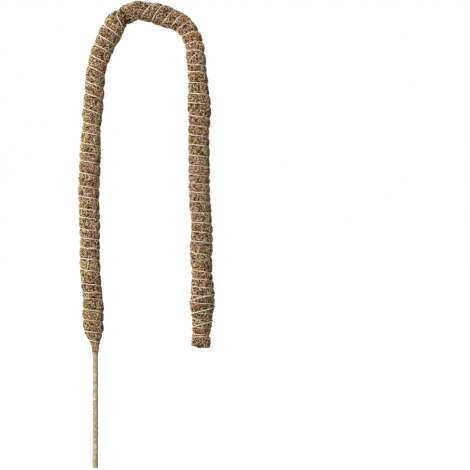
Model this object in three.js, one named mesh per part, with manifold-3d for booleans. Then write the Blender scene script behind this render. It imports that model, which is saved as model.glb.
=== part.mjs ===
// A bendable moss pole: a steel core wire in a jute wrap, a sleeve of coir fibre mat round it, and a
// binding twine wound from the stake to the free end. Millimetres, +Z up. The pole stands on the cut
// end of its stake at the origin and arches over to +X in the XZ plane. Its front faces -Y.
import * as THREE from "three";
import Module from "manifold-3d";

const TAU = 2 * Math.PI;
const FRONT = new THREE.Vector3(0, -1, 0);

// Lengths of the runs along the pole's middle line, from the stake's cut end to the free end.
const STAKE_LENGTH = 164;
const FOOT_LENGTH = 36;
const LOWER_RISER_LENGTH = 130;
const MIDDLE_RISER_LENGTH = 80;
const UPPER_RISER_LENGTH = 130;
const RISER_BEND_LENGTH = 80;
const HAUNCH_LENGTH = 12;
const HAUNCH_BEND_LENGTH = 26;
const LEFT_SHOULDER_LENGTH = 8;
const LEFT_SHOULDER_BEND_LENGTH = 26;
const CROWN_LENGTH = 30;
const CROWN_BEND_LENGTH = 26;
const RIGHT_SHOULDER_LENGTH = 8;
const RIGHT_SHOULDER_BEND_LENGTH = 26;
const ARM_TOP_LENGTH = 46;
const UPPER_ARM_LENGTH = 60;
const MIDDLE_ARM_LENGTH = 98;
const ARM_JOG_LENGTH = 24;
const LOWER_ARM_LENGTH = 166;

// How far each run turns over to the right, in degrees. Runs that are not here are straight.
const FOOT_TURN = -4.8;
const LOWER_RISER_TURN = 3.2;
const MIDDLE_RISER_TURN = 3.4;
const UPPER_RISER_TURN = 2.7;
const RISER_BEND_TURN = 24;
const HAUNCH_TURN = 8;
const HAUNCH_BEND_TURN = 30;
const LEFT_SHOULDER_TURN = 9;
const LEFT_SHOULDER_BEND_TURN = 30;
const CROWN_TURN = 9;
const CROWN_BEND_TURN = 27;
const RIGHT_SHOULDER_TURN = 8;
const RIGHT_SHOULDER_BEND_TURN = 27;
const UPPER_ARM_TURN = 4.6;
const MIDDLE_ARM_TURN = -2.5;
const ARM_JOG_OUT_TURN = -4.3;
const ARM_JOG_BACK_TURN = 5.9;

// Cross-sections of the core and of the coir sleeve.
const CLEARANCE = 0.3;
const WIRE_DIAMETER = 4;
const STAKE_DIAMETER = 7.4;
const COIR_DIAMETER = 28.8;
const COLLAR_WALL = 1;
const COLLAR_LENGTH = 28;
const GROOVE_DEPTH = 2.4;
const END_SWELL = 1.2;
const END_SWELL_LENGTH = 40;
const END_PINCH = 1.2;
const END_PINCH_LENGTH = 16;

// The binding twine. Its turns climb a little less across the front than across the back.
const TWINE_DIAMETER = 1.8;
const TURNS = 68;
const FIRST_TURN_INSET = 15.5;
const END_STUB_LENGTH = 17.7;
const BACK_STEP = 0.09;
const DRIFT = { share: 1.25, turns: TURNS, phase: -2.14 };
const WANDER = { share: 0.1, turns: 5.3, phase: 0 };
const FLUTTER = { share: 0.04, turns: 2.3, phase: 1 };
const LASHING_TURNS = 3;
const LASHING_PITCH = 19;
const KNOT_DIAMETER = 4.6;

// How finely the surfaces are divided.
const CORE_SIDES = 8;
const RING_TURN = 8;
const STEPS_PER_TURN = 8;
const LEAST_STEP = 0.002;
const ROWS_PER_TURN = 2;
const TWINE_SIDES = 4;
const KNOT_SIDES = 6;
const GAP_SAMPLES_PER_TURN = 24;

// Stretches of the pole in order. Those named bend are where the wire is bent by hand.
const STRETCHES = [
  {
    name: "riser",
    runs: [
      [STAKE_LENGTH, 0],
      [FOOT_LENGTH, FOOT_TURN],
      [LOWER_RISER_LENGTH, LOWER_RISER_TURN],
      [MIDDLE_RISER_LENGTH, MIDDLE_RISER_TURN],
      [UPPER_RISER_LENGTH, UPPER_RISER_TURN],
    ],
  },
  { name: "riser_bend", runs: [[RISER_BEND_LENGTH, RISER_BEND_TURN]] },
  { name: "haunch", runs: [[HAUNCH_LENGTH, HAUNCH_TURN]] },
  { name: "haunch_bend", runs: [[HAUNCH_BEND_LENGTH, HAUNCH_BEND_TURN]] },
  { name: "left_shoulder", runs: [[LEFT_SHOULDER_LENGTH, LEFT_SHOULDER_TURN]] },
  { name: "left_shoulder_bend", runs: [[LEFT_SHOULDER_BEND_LENGTH, LEFT_SHOULDER_BEND_TURN]] },
  { name: "crown", runs: [[CROWN_LENGTH, CROWN_TURN]] },
  { name: "crown_bend", runs: [[CROWN_BEND_LENGTH, CROWN_BEND_TURN]] },
  { name: "right_shoulder", runs: [[RIGHT_SHOULDER_LENGTH, RIGHT_SHOULDER_TURN]] },
  { name: "right_shoulder_bend", runs: [[RIGHT_SHOULDER_BEND_LENGTH, RIGHT_SHOULDER_BEND_TURN]] },
  {
    name: "arm",
    runs: [
      [ARM_TOP_LENGTH, 0],
      [UPPER_ARM_LENGTH, UPPER_ARM_TURN],
      [MIDDLE_ARM_LENGTH, MIDDLE_ARM_TURN],
      [ARM_JOG_LENGTH, ARM_JOG_OUT_TURN],
      [ARM_JOG_LENGTH, ARM_JOG_BACK_TURN],
      [LOWER_ARM_LENGTH, 0],
    ],
  },
];

const MATERIALS = {
  core_wire: { color: 0x8f9191, roughness: 0.4, metalness: 1 },
  core_wrap: { color: 0xa99f84, roughness: 0.9, metalness: 0 },
  coir_sleeve: { color: 0x8a5b30, roughness: 1, metalness: 0 },
  binding_twine: { color: 0xd9c59c, roughness: 0.9, metalness: 0 },
};

const wireRadius = WIRE_DIAMETER / 2;
const wrapRadius = STAKE_DIAMETER / 2;
const boreRadius = wrapRadius + CLEARANCE;
const collarRadius = boreRadius + COLLAR_WALL;
const coirRadius = COIR_DIAMETER / 2;
const twineRadius = TWINE_DIAMETER / 2;
const knotRadius = KNOT_DIAMETER / 2;

// The middle line: arcs laid end to end, with each stretch's first and last station along it.
const arcs = [];
const spans = [];
let poleLength = 0;
{
  const pen = { x: 0, z: 0, heading: 0 };
  for (const { name, runs } of STRETCHES) {
    const span = { name, start: poleLength };
    for (const [length, turn] of runs) {
      const arc = { start: poleLength, length, bend: THREE.MathUtils.degToRad(turn) / length, ...pen };
      arcs.push(arc);
      Object.assign(pen, along(arc, length));
      poleLength += length;
    }
    spans.push({ ...span, end: poleLength });
  }
}

// Where an arc has come to after a distance, with its heading measured from +Z towards +X.
function along(arc, distance) {
  const heading = arc.heading + arc.bend * distance;
  const mean = (arc.heading + heading) / 2;
  const half = (arc.bend * distance) / 2;
  const chord = half === 0 ? distance : (distance * Math.sin(half)) / half;
  return { x: arc.x + chord * Math.sin(mean), z: arc.z + chord * Math.cos(mean), heading };
}

// The middle line's point, its direction, and the direction to the outside of the arch.
function frameAt(station) {
  const arc = arcs.findLast(({ start }) => start <= station) ?? arcs[0];
  const { x, z, heading } = along(arc, station - arc.start);
  return {
    point: new THREE.Vector3(x, 0, z),
    forward: new THREE.Vector3(Math.sin(heading), 0, Math.cos(heading)),
    outward: new THREE.Vector3(-Math.cos(heading), 0, Math.sin(heading)),
  };
}

// A point at a radius round the middle line. Angle 0 is the front, and a quarter turn is the outside.
function pointOn(station, angle, radius) {
  const { point, outward } = frameAt(station);
  return point
    .addScaledVector(FRONT, radius * Math.cos(angle))
    .addScaledVector(outward, radius * Math.sin(angle));
}

// Stations from one to another, close enough together to follow the bends.
function stationsBetween(first, last) {
  const stations = [first];
  for (const { start, length, bend } of arcs) {
    const steps = Math.max(1, Math.ceil(THREE.MathUtils.radToDeg(Math.abs(bend * length)) / RING_TURN));
    for (let step = 0; step < steps; step++) stations.push(start + (length * step) / steps);
  }
  return [...new Set(stations)]
    .filter((station) => station >= first && station < last)
    .sort((a, b) => a - b)
    .concat(last);
}

// How far up the tapered collar a station is, from 0 at the coir's lower edge to 1 at its full girth.
function collarShare(station) {
  return THREE.MathUtils.smoothstep(station, STAKE_LENGTH, STAKE_LENGTH + COLLAR_LENGTH);
}

// A soft hump of height 1 and about the given length, round a middle station.
function hump(station, middle, length) {
  return Math.exp(-(((station - middle) / (length / 2)) ** 2));
}

const firstTurnStation = STAKE_LENGTH + FIRST_TURN_INSET;
const lastTurnStation = poleLength - END_STUB_LENGTH;
const lashingStation = lastTurnStation - LASHING_TURNS * LASHING_PITCH;
const swellStation = (lastTurnStation + lashingStation) / 2;
const pitch = (lastTurnStation - firstTurnStation) / TURNS;

// The coir's radius on the crest between two turns, and at the bottom of the groove under a turn.
function crestRadius(station) {
  const swell = END_SWELL * hump(station, swellStation, END_SWELL_LENGTH);
  const pinch = END_PINCH * hump(station, lastTurnStation, END_PINCH_LENGTH);
  return THREE.MathUtils.lerp(collarRadius, coirRadius + swell - pinch, collarShare(station));
}
function grooveRadius(station) {
  return crestRadius(station) - GROOVE_DEPTH * collarShare(station);
}

// The station of the twine after a number of turns. Hand winding drifts, wanders and flutters.
function stationOf(turn) {
  let count = turn - BACK_STEP * Math.sin(TAU * turn);
  for (const { share, turns, phase } of [DRIFT, WANDER, FLUTTER])
    count += share * (Math.sin((TAU * turn) / turns + phase) - Math.sin(phase));
  return firstTurnStation + pitch * count;
}

// The turn at which the twine passes a station, found by halving.
function turnAt(station) {
  let low = -TURNS;
  let high = 2 * TURNS;
  while (high - low > 1e-7) {
    const middle = (low + high) / 2;
    if (stationOf(middle) < station) low = middle;
    else high = middle;
  }
  return low;
}

// The middle of the twine. After its last turn it climbs onto the coir's crests in half a turn, and the
// lashing winds back over the turns below.
const twineStart = -0.5;
const twineEnd = TURNS + 0.5 + LASHING_TURNS;
function twinePlace(turn) {
  const back = Math.max(0, turn - TURNS - 0.5);
  const station = turn < TURNS ? stationOf(turn) : stationOf(TURNS) - LASHING_PITCH * back;
  const climb = THREE.MathUtils.clamp((turn - TURNS) / 0.5, 0, 1);
  const bed = THREE.MathUtils.lerp(grooveRadius(station), crestRadius(station), climb);
  return { station, angle: TAU * turn, radius: bed + CLEARANCE + twineRadius };
}

// A closed skin over rings of points: capped at both ends, or joined end to end for a pipe.
function skinOf(rings, isPipe = false) {
  const sides = rings[0].length;
  const triangles = [];
  const joins = isPipe ? rings.length : rings.length - 1;
  for (let ring = 0; ring < joins; ring++) {
    const near = ring * sides;
    const far = ((ring + 1) % rings.length) * sides;
    for (let side = 0; side < sides; side++) {
      const next = (side + 1) % sides;
      triangles.push([near + side, far + next, near + next], [near + side, far + side, far + next]);
    }
  }
  const end = (rings.length - 1) * sides;
  for (let side = 1; side < sides - 1 && !isPipe; side++)
    triangles.push([0, side, side + 1], [end, end + side + 1, end + side]);
  return { points: rings.flat(), triangles };
}

// A ring of points round the middle line.
function ringAt(station, radius, sides) {
  return Array.from({ length: sides }, (_, side) => pointOn(station, (TAU * side) / sides, radius));
}

function rodSkin(first, last, radius) {
  return skinOf(stationsBetween(first, last).map((station) => ringAt(station, radius, CORE_SIDES)));
}

function pipeSkin(first, last, radius, bore) {
  const stations = stationsBetween(first, last);
  const outside = stations.map((station) => ringAt(station, radius, CORE_SIDES));
  const inside = stations.map((station) => ringAt(station, bore, CORE_SIDES)).reverse();
  return skinOf([...outside, ...inside], true);
}

// The coir's outside over a range of whole turns. Rows of points follow the twine's grooves and the
// crests between them, so a row meets the row one turn on when it has gone once round.
function thatchSkin(firstTurn, lastTurn) {
  const points = [];
  const rows = (lastTurn - firstTurn) * ROWS_PER_TURN;
  for (let row = 0; row <= rows; row++) {
    const turn = firstTurn + Math.floor(row / ROWS_PER_TURN);
    const crest = (row % ROWS_PER_TURN) / ROWS_PER_TURN;
    for (let step = 0; step < STEPS_PER_TURN; step++) {
      const round = step / STEPS_PER_TURN;
      const station = THREE.MathUtils.lerp(stationOf(turn + round), stationOf(turn + 1 + round), crest);
      const radius = crest > 0 ? crestRadius(station) : grooveRadius(station);
      points.push(pointOn(station, TAU * round, radius));
    }
  }
  const at = (row, step) =>
    step < STEPS_PER_TURN ? row * STEPS_PER_TURN + step : (row + ROWS_PER_TURN) * STEPS_PER_TURN;
  const triangles = [];
  for (let row = 0; row < rows; row++)
    for (let step = 0; step < STEPS_PER_TURN; step++) {
      if (step === STEPS_PER_TURN - 1 && row + ROWS_PER_TURN >= rows) continue;
      const [a, b, c, d] = [at(row, step), at(row, step + 1), at(row + 1, step + 1), at(row + 1, step)];
      triangles.push([a, c, b], [a, d, c]);
    }
  const foot = [];
  const head = [];
  for (let step = 0; step < STEPS_PER_TURN; step++) {
    foot.push(at(0, step));
    head.push(at(rows, step));
  }
  for (let row = ROWS_PER_TURN; row > 0; row--) foot.push(at(row, 0));
  for (let row = 1; row <= ROWS_PER_TURN; row++) head.push(at(rows - row, STEPS_PER_TURN - 1));
  for (const [rim, turn, isHead] of [[foot, firstTurn + 0.5, false], [head, lastTurn + 0.5, true]]) {
    const middle = points.push(frameAt(stationOf(turn)).point) - 1;
    rim.forEach((corner, index) => {
      const next = rim[(index + 1) % rim.length];
      triangles.push(isHead ? [middle, next, corner] : [middle, corner, next]);
    });
  }
  return { points, triangles };
}

const wasm = await Module();
wasm.setup();

function solidFrom({ points, triangles }) {
  const vertProperties = new Float32Array(points.flatMap((point) => point.toArray()));
  const triVerts = new Uint32Array(triangles.flat());
  return new wasm.Manifold(new wasm.Mesh({ numProp: 3, vertProperties, triVerts }));
}

function geometryFrom(vertices, indices) {
  const geometry = new THREE.BufferGeometry();
  geometry.setAttribute("position", new THREE.Float32BufferAttribute(vertices, 3));
  geometry.setIndex(Array.from(indices));
  return geometry;
}

function geometryOfSkin({ points, triangles }) {
  return geometryFrom(points.flatMap((point) => point.toArray()), triangles.flat());
}

function geometryOfSolid(solid) {
  const { vertProperties, triVerts } = solid.getMesh();
  return geometryFrom(vertProperties, triVerts);
}

const pole = new THREE.Group();

function addPiece(name, kind, geometry) {
  const material = new THREE.MeshStandardMaterial({ ...MATERIALS[kind], flatShading: true });
  const mesh = new THREE.Mesh(geometry, material);
  mesh.name = name;
  pole.add(mesh);
}

function addCore(name, first, last) {
  addPiece(`core_wire_${name}`, "core_wire", geometryOfSkin(rodSkin(first, last, wireRadius)));
  const wrap = pipeSkin(first, last, wrapRadius, wireRadius + CLEARANCE);
  addPiece(`core_wrap_${name}`, "core_wrap", geometryOfSkin(wrap));
}

// One length of the coir sleeve: the thatch cut square at both stations and bored for the core.
function addSleeve(name, first, last) {
  const thatch = solidFrom(thatchSkin(Math.floor(turnAt(first)) - 2, Math.ceil(turnAt(last)) + 2));
  const widest = coirRadius + END_SWELL + GROOVE_DEPTH;
  const cut = solidFrom(rodSkin(first, last, widest));
  const bore = solidFrom(rodSkin(first - COLLAR_WALL, last + COLLAR_WALL, boreRadius));
  const sleeve = thatch.intersect(cut).subtract(bore);
  addPiece(`coir_sleeve_${name}`, "coir_sleeve", geometryOfSolid(sleeve));
}

// One length of the twine, with a square end at each turn given.
function addTwine(name, firstTurn, lastTurn) {
  const turns = [firstTurn];
  for (let step = Math.ceil(firstTurn * STEPS_PER_TURN); step < lastTurn * STEPS_PER_TURN; step++) {
    const turn = step / STEPS_PER_TURN;
    if (turn - firstTurn > LEAST_STEP && lastTurn - turn > LEAST_STEP) turns.push(turn);
  }
  turns.push(lastTurn);
  const rings = turns.map((turn) => {
    const { station, angle, radius } = twinePlace(turn);
    const { forward } = frameAt(station);
    const middle = pointOn(station, angle, radius);
    const upward = pointOn(station, angle, radius + twineRadius).sub(middle);
    return Array.from({ length: TWINE_SIDES }, (_, side) => {
      const round = (TAU * side) / TWINE_SIDES;
      return middle
        .clone()
        .addScaledVector(upward, Math.cos(round))
        .addScaledVector(forward, -twineRadius * Math.sin(round));
    });
  });
  addPiece(`binding_twine_${name}`, "binding_twine", geometryOfSkin(skinOf(rings)));
}

// A knot bead on the coir, just past an end of the twine. Way is -1 before its start, 1 past its end.
function addKnot(name, endTurn, way) {
  const { station, radius, angle } = twinePlace(endTurn);
  const seat = crestRadius(station) + CLEARANCE + knotRadius;
  const middle = pointOn(station, angle + (way * (knotRadius + CLEARANCE)) / radius, seat);
  const { forward, outward } = frameAt(station);
  const rings = [];
  for (let ring = 1; ring < KNOT_SIDES; ring++) {
    const height = (Math.PI * ring) / KNOT_SIDES;
    const corners = Array.from({ length: KNOT_SIDES }, (_, side) => {
      const round = (TAU * side) / KNOT_SIDES;
      return middle
        .clone()
        .addScaledVector(forward, -knotRadius * Math.cos(height))
        .addScaledVector(FRONT, knotRadius * Math.sin(height) * Math.cos(round))
        .addScaledVector(outward, knotRadius * Math.sin(height) * Math.sin(round));
    });
    rings.push(corners);
  }
  addPiece(name, "binding_twine", geometryOfSkin(skinOf(rings)));
}

// The twine's least gap to itself, measured between points of its middle that are not close along it.
function leastTwineGap() {
  const samples = [];
  for (let step = 0; step <= (twineEnd - twineStart) * GAP_SAMPLES_PER_TURN; step++) {
    const { station, angle, radius } = twinePlace(twineStart + step / GAP_SAMPLES_PER_TURN);
    samples.push(pointOn(station, angle, radius));
  }
  let least = Infinity;
  samples.forEach((point, index) => {
    for (let other = index + GAP_SAMPLES_PER_TURN / 2; other < samples.length; other++)
      least = Math.min(least, point.distanceTo(samples[other]));
  });
  return least - TWINE_DIAMETER;
}

// The hinge line that stands for a bend: on the bend's bisector, where opening it keeps its length.
function hingeOf({ name, start, end }) {
  const { bend } = arcs.find((arc) => arc.start === start);
  const half = (bend * (end - start)) / 2;
  const { point, outward } = frameAt((start + end) / 2);
  const offset = (half / Math.sin(half) - 1) / bend;
  return { name, pivot: point.addScaledVector(outward, offset).toArray(), axis: [0, 1, 0] };
}

spans.forEach(({ name, start, end }, index) => {
  const isFirst = index === 0;
  const isLast = index === spans.length - 1;
  const first = isFirst ? start : start + CLEARANCE / 2;
  const last = isLast ? end : end - CLEARANCE / 2;
  addCore(name, first, last);
  addSleeve(name, isFirst ? STAKE_LENGTH : first, last);
  const turnGap = CLEARANCE / 2 / (TAU * coirRadius);
  const firstTurn = isFirst ? twineStart : turnAt(start) + turnGap;
  const lastTurn = isLast ? twineEnd : turnAt(end) - turnGap;
  addTwine(name, firstTurn, lastTurn);
});
addKnot("start_knot", twineStart, -1);
addKnot("end_knot", twineEnd, 1);

pole.userData.hinges = spans.filter(({ name }) => name.endsWith("_bend")).map(hingeOf);
console.log(`binding twine: ${TURNS} turns, least gap to itself ${leastTwineGap().toFixed(2)} mm`);

export default pole;
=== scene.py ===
"""A bendable coir moss pole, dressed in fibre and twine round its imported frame.

Metres, +Z up. The pole stands on its stake at the origin, arches over to +X in the XZ plane and faces -Y.
"""

import logging
import math
from collections.abc import Mapping
from dataclasses import dataclass, field, fields
from enum import Enum

import bpy
import numpy as np
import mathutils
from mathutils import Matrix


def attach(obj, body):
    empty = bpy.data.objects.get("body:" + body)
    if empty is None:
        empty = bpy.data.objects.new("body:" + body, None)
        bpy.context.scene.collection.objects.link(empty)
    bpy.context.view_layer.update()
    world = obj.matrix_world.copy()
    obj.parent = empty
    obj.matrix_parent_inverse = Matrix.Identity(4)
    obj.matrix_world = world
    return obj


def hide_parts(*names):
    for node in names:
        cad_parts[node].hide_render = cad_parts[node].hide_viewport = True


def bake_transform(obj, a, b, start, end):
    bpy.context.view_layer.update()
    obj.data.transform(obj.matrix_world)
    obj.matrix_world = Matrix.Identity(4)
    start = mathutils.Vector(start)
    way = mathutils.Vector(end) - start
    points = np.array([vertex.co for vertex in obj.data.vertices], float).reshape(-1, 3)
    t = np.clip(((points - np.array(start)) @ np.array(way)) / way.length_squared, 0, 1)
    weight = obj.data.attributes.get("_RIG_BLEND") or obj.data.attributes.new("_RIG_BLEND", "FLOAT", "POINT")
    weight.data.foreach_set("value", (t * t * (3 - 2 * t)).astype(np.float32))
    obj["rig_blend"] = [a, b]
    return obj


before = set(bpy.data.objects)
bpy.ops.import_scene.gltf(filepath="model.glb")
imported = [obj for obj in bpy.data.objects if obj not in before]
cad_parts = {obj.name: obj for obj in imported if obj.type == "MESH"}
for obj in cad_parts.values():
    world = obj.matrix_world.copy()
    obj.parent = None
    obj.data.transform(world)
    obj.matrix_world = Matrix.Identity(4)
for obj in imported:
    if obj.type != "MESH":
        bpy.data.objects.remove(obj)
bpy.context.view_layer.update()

LOG = logging.getLogger("moss_pole")
TAU = 2.0 * math.pi
MM = 0.001
FRONT = np.array((0.0, -1.0, 0.0))
MAP = "OFBake"
STAKE_LENGTH = 164 * MM

Array = np.ndarray
Mesh = bpy.types.Mesh
Material = bpy.types.Material
Piece = bpy.types.Object
Colour = tuple[float, float, float, float]
Vector = tuple[float, float, float]
Stops = tuple[tuple[float, Colour], ...]
Steps = tuple[tuple[float, float], ...]
# A span is where a change starts and where it ends. A break is where it starts and its reach, which may fall.
Span = tuple[float, float]
Break = tuple[float, float]

WHITE = (1.0, 1.0, 1.0, 1.0)
SHADE_PLACES = (0.0, 0.3, 0.55, 0.8, 1.0)
SOCKET_KINDS = {float: "NodeSocketFloat", int: "NodeSocketInt"}


def paint(red: int, green: int, blue: int) -> Colour:
    """A linear colour from screen values of 0 to 255.

    Args:
        red: The red value.
        green: The green value.
        blue: The blue value.

    Returns:
        The colour as a shader socket takes it.
    """
    shares = (value / 255.0 for value in (red, green, blue))
    # The curve of a screen: straight in the dark, and then a power.
    linear = (s / 12.92 if s <= 0.04045 else ((s + 0.055) / 1.055) ** 2.4 for s in shares)
    return (*linear, 1.0)


def shades(*colours: tuple[int, int, int]) -> Stops:
    """A ramp of five colours from dark to light, from screen values."""
    return tuple(zip(SHADE_PLACES, (paint(*colour) for colour in colours)))


def eased(value: Array, low: float, high: float) -> Array:
    """A smooth rise from 0 at low to 1 at high."""
    share = np.clip((value - low) / (high - low), 0.0, 1.0)
    return share * share * (3.0 - 2.0 * share)


class Ends(Enum):
    """How a skin over rings of points is closed."""

    OPEN = "open"
    CAPPED = "capped"
    PIPE = "pipe"


class Slot(Enum):
    """Names of the pole's material slots."""

    WIRE = "wire"
    WRAP = "wrap"
    COIR = "coir"
    TWINE = "twine"


class Wire:
    """A node's output socket that can stand in sums."""

    def __init__(self, graph: "Graph", socket: bpy.types.NodeSocket) -> None:
        """Keeps the socket and the graph that it belongs to."""
        self.graph = graph
        self.socket = socket

    def out(self, name: str) -> "Wire":
        """Another output of the same node, by its name."""
        return Wire(self.graph, self.graph.socket(self.socket.node.outputs, name))

    def math(self, operation: str, *values: "Wire | float") -> "Wire":
        """A Math node on some values, which need not hold this one."""
        return self.graph.node("ShaderNodeMath", dict(enumerate(values)), operation=operation)

    def __add__(self, other: "Wire | float") -> "Wire":
        """This value plus another."""
        return self.math("ADD", self, other)

    def __sub__(self, other: "Wire | float") -> "Wire":
        """This value less another."""
        return self.math("SUBTRACT", self, other)

    def __rsub__(self, other: float) -> "Wire":
        """A number less this value."""
        return self.math("SUBTRACT", other, self)

    def __mul__(self, other: "Wire | float") -> "Wire":
        """This value times another."""
        return self.math("MULTIPLY", self, other)

    def __truediv__(self, other: "Wire | float") -> "Wire":
        """This value over another."""
        return self.math("DIVIDE", self, other)

    def __rtruediv__(self, other: float) -> "Wire":
        """A number over this value."""
        return self.math("DIVIDE", other, self)

    def __pow__(self, other: "Wire | float") -> "Wire":
        """This value to a power."""
        return self.math("POWER", self, other)

    __radd__ = __add__
    __rmul__ = __mul__

    def clamped(self) -> "Wire":
        """This value held between 0 and 1."""
        return self.graph.node("ShaderNodeClamp", {"Value": self})

    def past(self, start: float, reach: float) -> "Wire":
        """How far this value is past a start, as a share of a reach, held between 0 and 1."""
        return ((self - start) / reach).clamped()

    def parts(self) -> "Wire":
        """This vector's X. Its Y and Z are other outputs of the same node."""
        return self.graph.node("ShaderNodeSeparateXYZ", {"Vector": self})

    def scaled(self, factor: "Wire | float") -> "Wire":
        """This vector times a value."""
        return self.graph.node("ShaderNodeVectorMath", {"Vector": self, "Scale": factor}, operation="SCALE")

    def shifted(self, other: "Wire | Vector") -> "Wire":
        """This vector plus another."""
        return self.graph.node("ShaderNodeVectorMath", {0: self, 1: other}, operation="ADD")


class Graph:
    """A node tree that is built by expressions."""

    def __init__(self, tree: bpy.types.NodeTree) -> None:
        """Keeps the tree."""
        self.tree = tree

    @staticmethod
    def socket(sockets: bpy.types.bpy_prop_collection, key: str | int) -> bpy.types.NodeSocket:
        """The socket in use that has a name or a place.

        Args:
            sockets: A node's inputs or outputs.
            key: The socket's name, or its place among them.

        Returns:
            The socket.
        """
        if isinstance(key, int):
            return sockets[key]
        return next(socket for socket in sockets if socket.name == key and socket.enabled)

    def node(self, kind: str, sockets: Mapping | None = None, **settings: object) -> Wire | None:
        """Adds a node.

        Args:
            kind: The node's type.
            sockets: Values or wires for its inputs, by name or place.
            settings: Its properties, which are set first. A ramp takes its stops here.

        Returns:
            Its first output in use, if it has one.
        """
        node = self.tree.nodes.new(kind)
        for name, value in settings.items():
            if name == "stops":
                self.set_stops(node.color_ramp, value)
            else:
                setattr(node, name, value)
        for key, value in (sockets or {}).items():
            socket = self.socket(node.inputs, key)
            if isinstance(value, Wire):
                self.tree.links.new(value.socket, socket)
            else:
                socket.default_value = value
        shown = [socket for socket in node.outputs if socket.enabled]
        return Wire(self, shown[0]) if shown else None

    @staticmethod
    def set_stops(ramp: bpy.types.ColorRamp, stops: Stops) -> None:
        """Sets a ramp's stops.

        Args:
            ramp: The ramp, which has two stops when it is new.
            stops: Places from 0 to 1 with their colours.
        """
        for _ in stops[2:]:
            ramp.elements.new(0.5)
        for element, (place, colour) in zip(ramp.elements, stops):
            element.position = place
            element.color = colour

    def ramp(self, value: Wire, stops: Stops) -> Wire:
        """A colour ramp read at a value."""
        return self.node("ShaderNodeValToRGB", {"Fac": value}, stops=stops)

    def mix(self, factor: Wire | float, first: Wire | Colour, second: Wire | Colour) -> Wire:
        """A mix of two colours."""
        return self.node("ShaderNodeMix", {"Factor": factor, "A": first, "B": second}, data_type="RGBA")

    def noise(self, place: Wire, scale: float, detail: float = 2.0) -> Wire:
        """A noise texture's value from 0 to 1."""
        return self.node("ShaderNodeTexNoise", {"Vector": place, "Scale": scale, "Detail": detail})

    def joined(self, **parts: Wire | float) -> Wire:
        """A vector from its X, Y and Z, of which any that is left out is 0."""
        return self.node("ShaderNodeCombineXYZ", parts)


@dataclass(frozen=True)
class Finish:
    """What a surface looks like. Each kind of finish gives its own shader."""

    name: str

    def shader(self, graph: Graph) -> Wire:
        """The finish's shader, built in a material's graph."""
        raise NotImplementedError

    def make(self) -> Material:
        """Builds the material.

        Returns:
            The material.
        """
        material = bpy.data.materials.new(self.name)
        material.use_nodes = True
        material.node_tree.nodes.clear()
        graph = Graph(material.node_tree)
        graph.node("ShaderNodeOutputMaterial", {"Surface": self.shader(graph)})
        return material


@dataclass(frozen=True)
class MattFinish(Finish):
    """A dull, fibrous surface, which may have a fine relief."""

    roughness: float = 0.9
    specular: float = 0.2
    bump: float = 0.5
    bump_height: float = 0.25 * MM

    def matt(self, graph: Graph, colour: Wire, relief: Wire | None = None) -> Wire:
        """A dull shader.

        Args:
            graph: The material's graph.
            colour: The surface's colour.
            relief: The height of its relief, where it has one.

        Returns:
            The shader.
        """
        values = {"Base Color": colour, "Roughness": self.roughness, "Specular IOR Level": self.specular}
        if relief is not None:
            bump = {"Strength": self.bump, "Distance": self.bump_height, "Height": relief}
            values["Normal"] = graph.node("ShaderNodeBump", bump)
        return graph.node("ShaderNodeBsdfPrincipled", values)


@dataclass(frozen=True)
class FibreFinish(MattFinish):
    """Loose coir fibre. Its map holds each fibre's tint across and its warmth upwards."""

    name: str = "coir_fibre"
    straw: Stops = shades((52, 35, 10), (108, 84, 44), (166, 139, 86), (217, 191, 132), (251, 231, 176))
    brown: Stops = shades((54, 29, 15), (113, 80, 58), (172, 134, 108), (222, 186, 157), (253, 225, 197))
    rust: Stops = shades((56, 27, 9), (121, 74, 40), (182, 122, 74), (227, 172, 116), (253, 214, 163))
    specular: float = 0.06

    def shader(self, graph: Graph) -> Wire:
        """Fibres from straw through brown to rust, as their warmth rises.

        Args:
            graph: The material's graph.

        Returns:
            The shader.
        """
        tint = graph.node("ShaderNodeUVMap", uv_map=MAP).parts()
        warmth = tint.out("Y") * 2.0
        pale = graph.mix(warmth.clamped(), graph.ramp(tint, self.straw), graph.ramp(tint, self.brown))
        return self.matt(graph, graph.mix((warmth - 1.0).clamped(), pale, graph.ramp(tint, self.rust)))


@dataclass(frozen=True)
class MatFinish(MattFinish):
    """The matted coir under the fibres: dark, with pale and rusty flecks, and like straw at its foot."""

    name: str = "coir_mat"
    # The coir's own brown, darkened as painted shade for the gaps between the loose fibres.
    deep: Colour = paint(30, 18, 8)
    body: Colour = paint(70, 47, 27)
    rust: Colour = paint(104, 64, 37)
    fleck: Colour = paint(120, 92, 60)
    foot: Colour = paint(154, 134, 100)
    fleck_scale: float = 900.0
    fleck_detail: float = 3.0
    patch_scale: float = 75.0
    body_break: Break = (0.4, 0.25)
    rust_break: Break = (0.5, 0.2)
    fleck_break: Break = (0.6, 0.125)
    foot_top: Break = (STAKE_LENGTH + 10 * MM, -8 * MM)
    foot_side: Break = (40 * MM, -10 * MM)
    foot_share: float = 1.6
    roughness: float = 0.95
    specular: float = 0.04
    bump: float = 0.6
    bump_height: float = 0.5 * MM

    def shader(self, graph: Graph) -> Wire:
        """Flecked coir, whose flecks stand up a little.

        Args:
            graph: The material's graph.

        Returns:
            The shader.
        """
        place = graph.node("ShaderNodeTexCoord").out("Object")
        fine = graph.noise(place, self.fleck_scale, self.fleck_detail)
        coarse = graph.noise(place, self.patch_scale)
        # Partly painted shade: this dark ground is the coir's own brown and also stands for the shade between
        # the loose fibres.
        ground = graph.mix(fine.past(*self.body_break), self.deep, self.body)
        rusty = graph.mix(coarse.past(*self.rust_break), ground, self.rust)
        flecked = graph.mix(fine.past(*self.fleck_break), rusty, self.fleck)
        side = place.parts()
        low = side.out("Z").past(*self.foot_top) * side.past(*self.foot_side)
        foot = low * (fine * self.foot_share).clamped()
        return self.matt(graph, graph.mix(foot, flecked, self.foot), fine)


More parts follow.
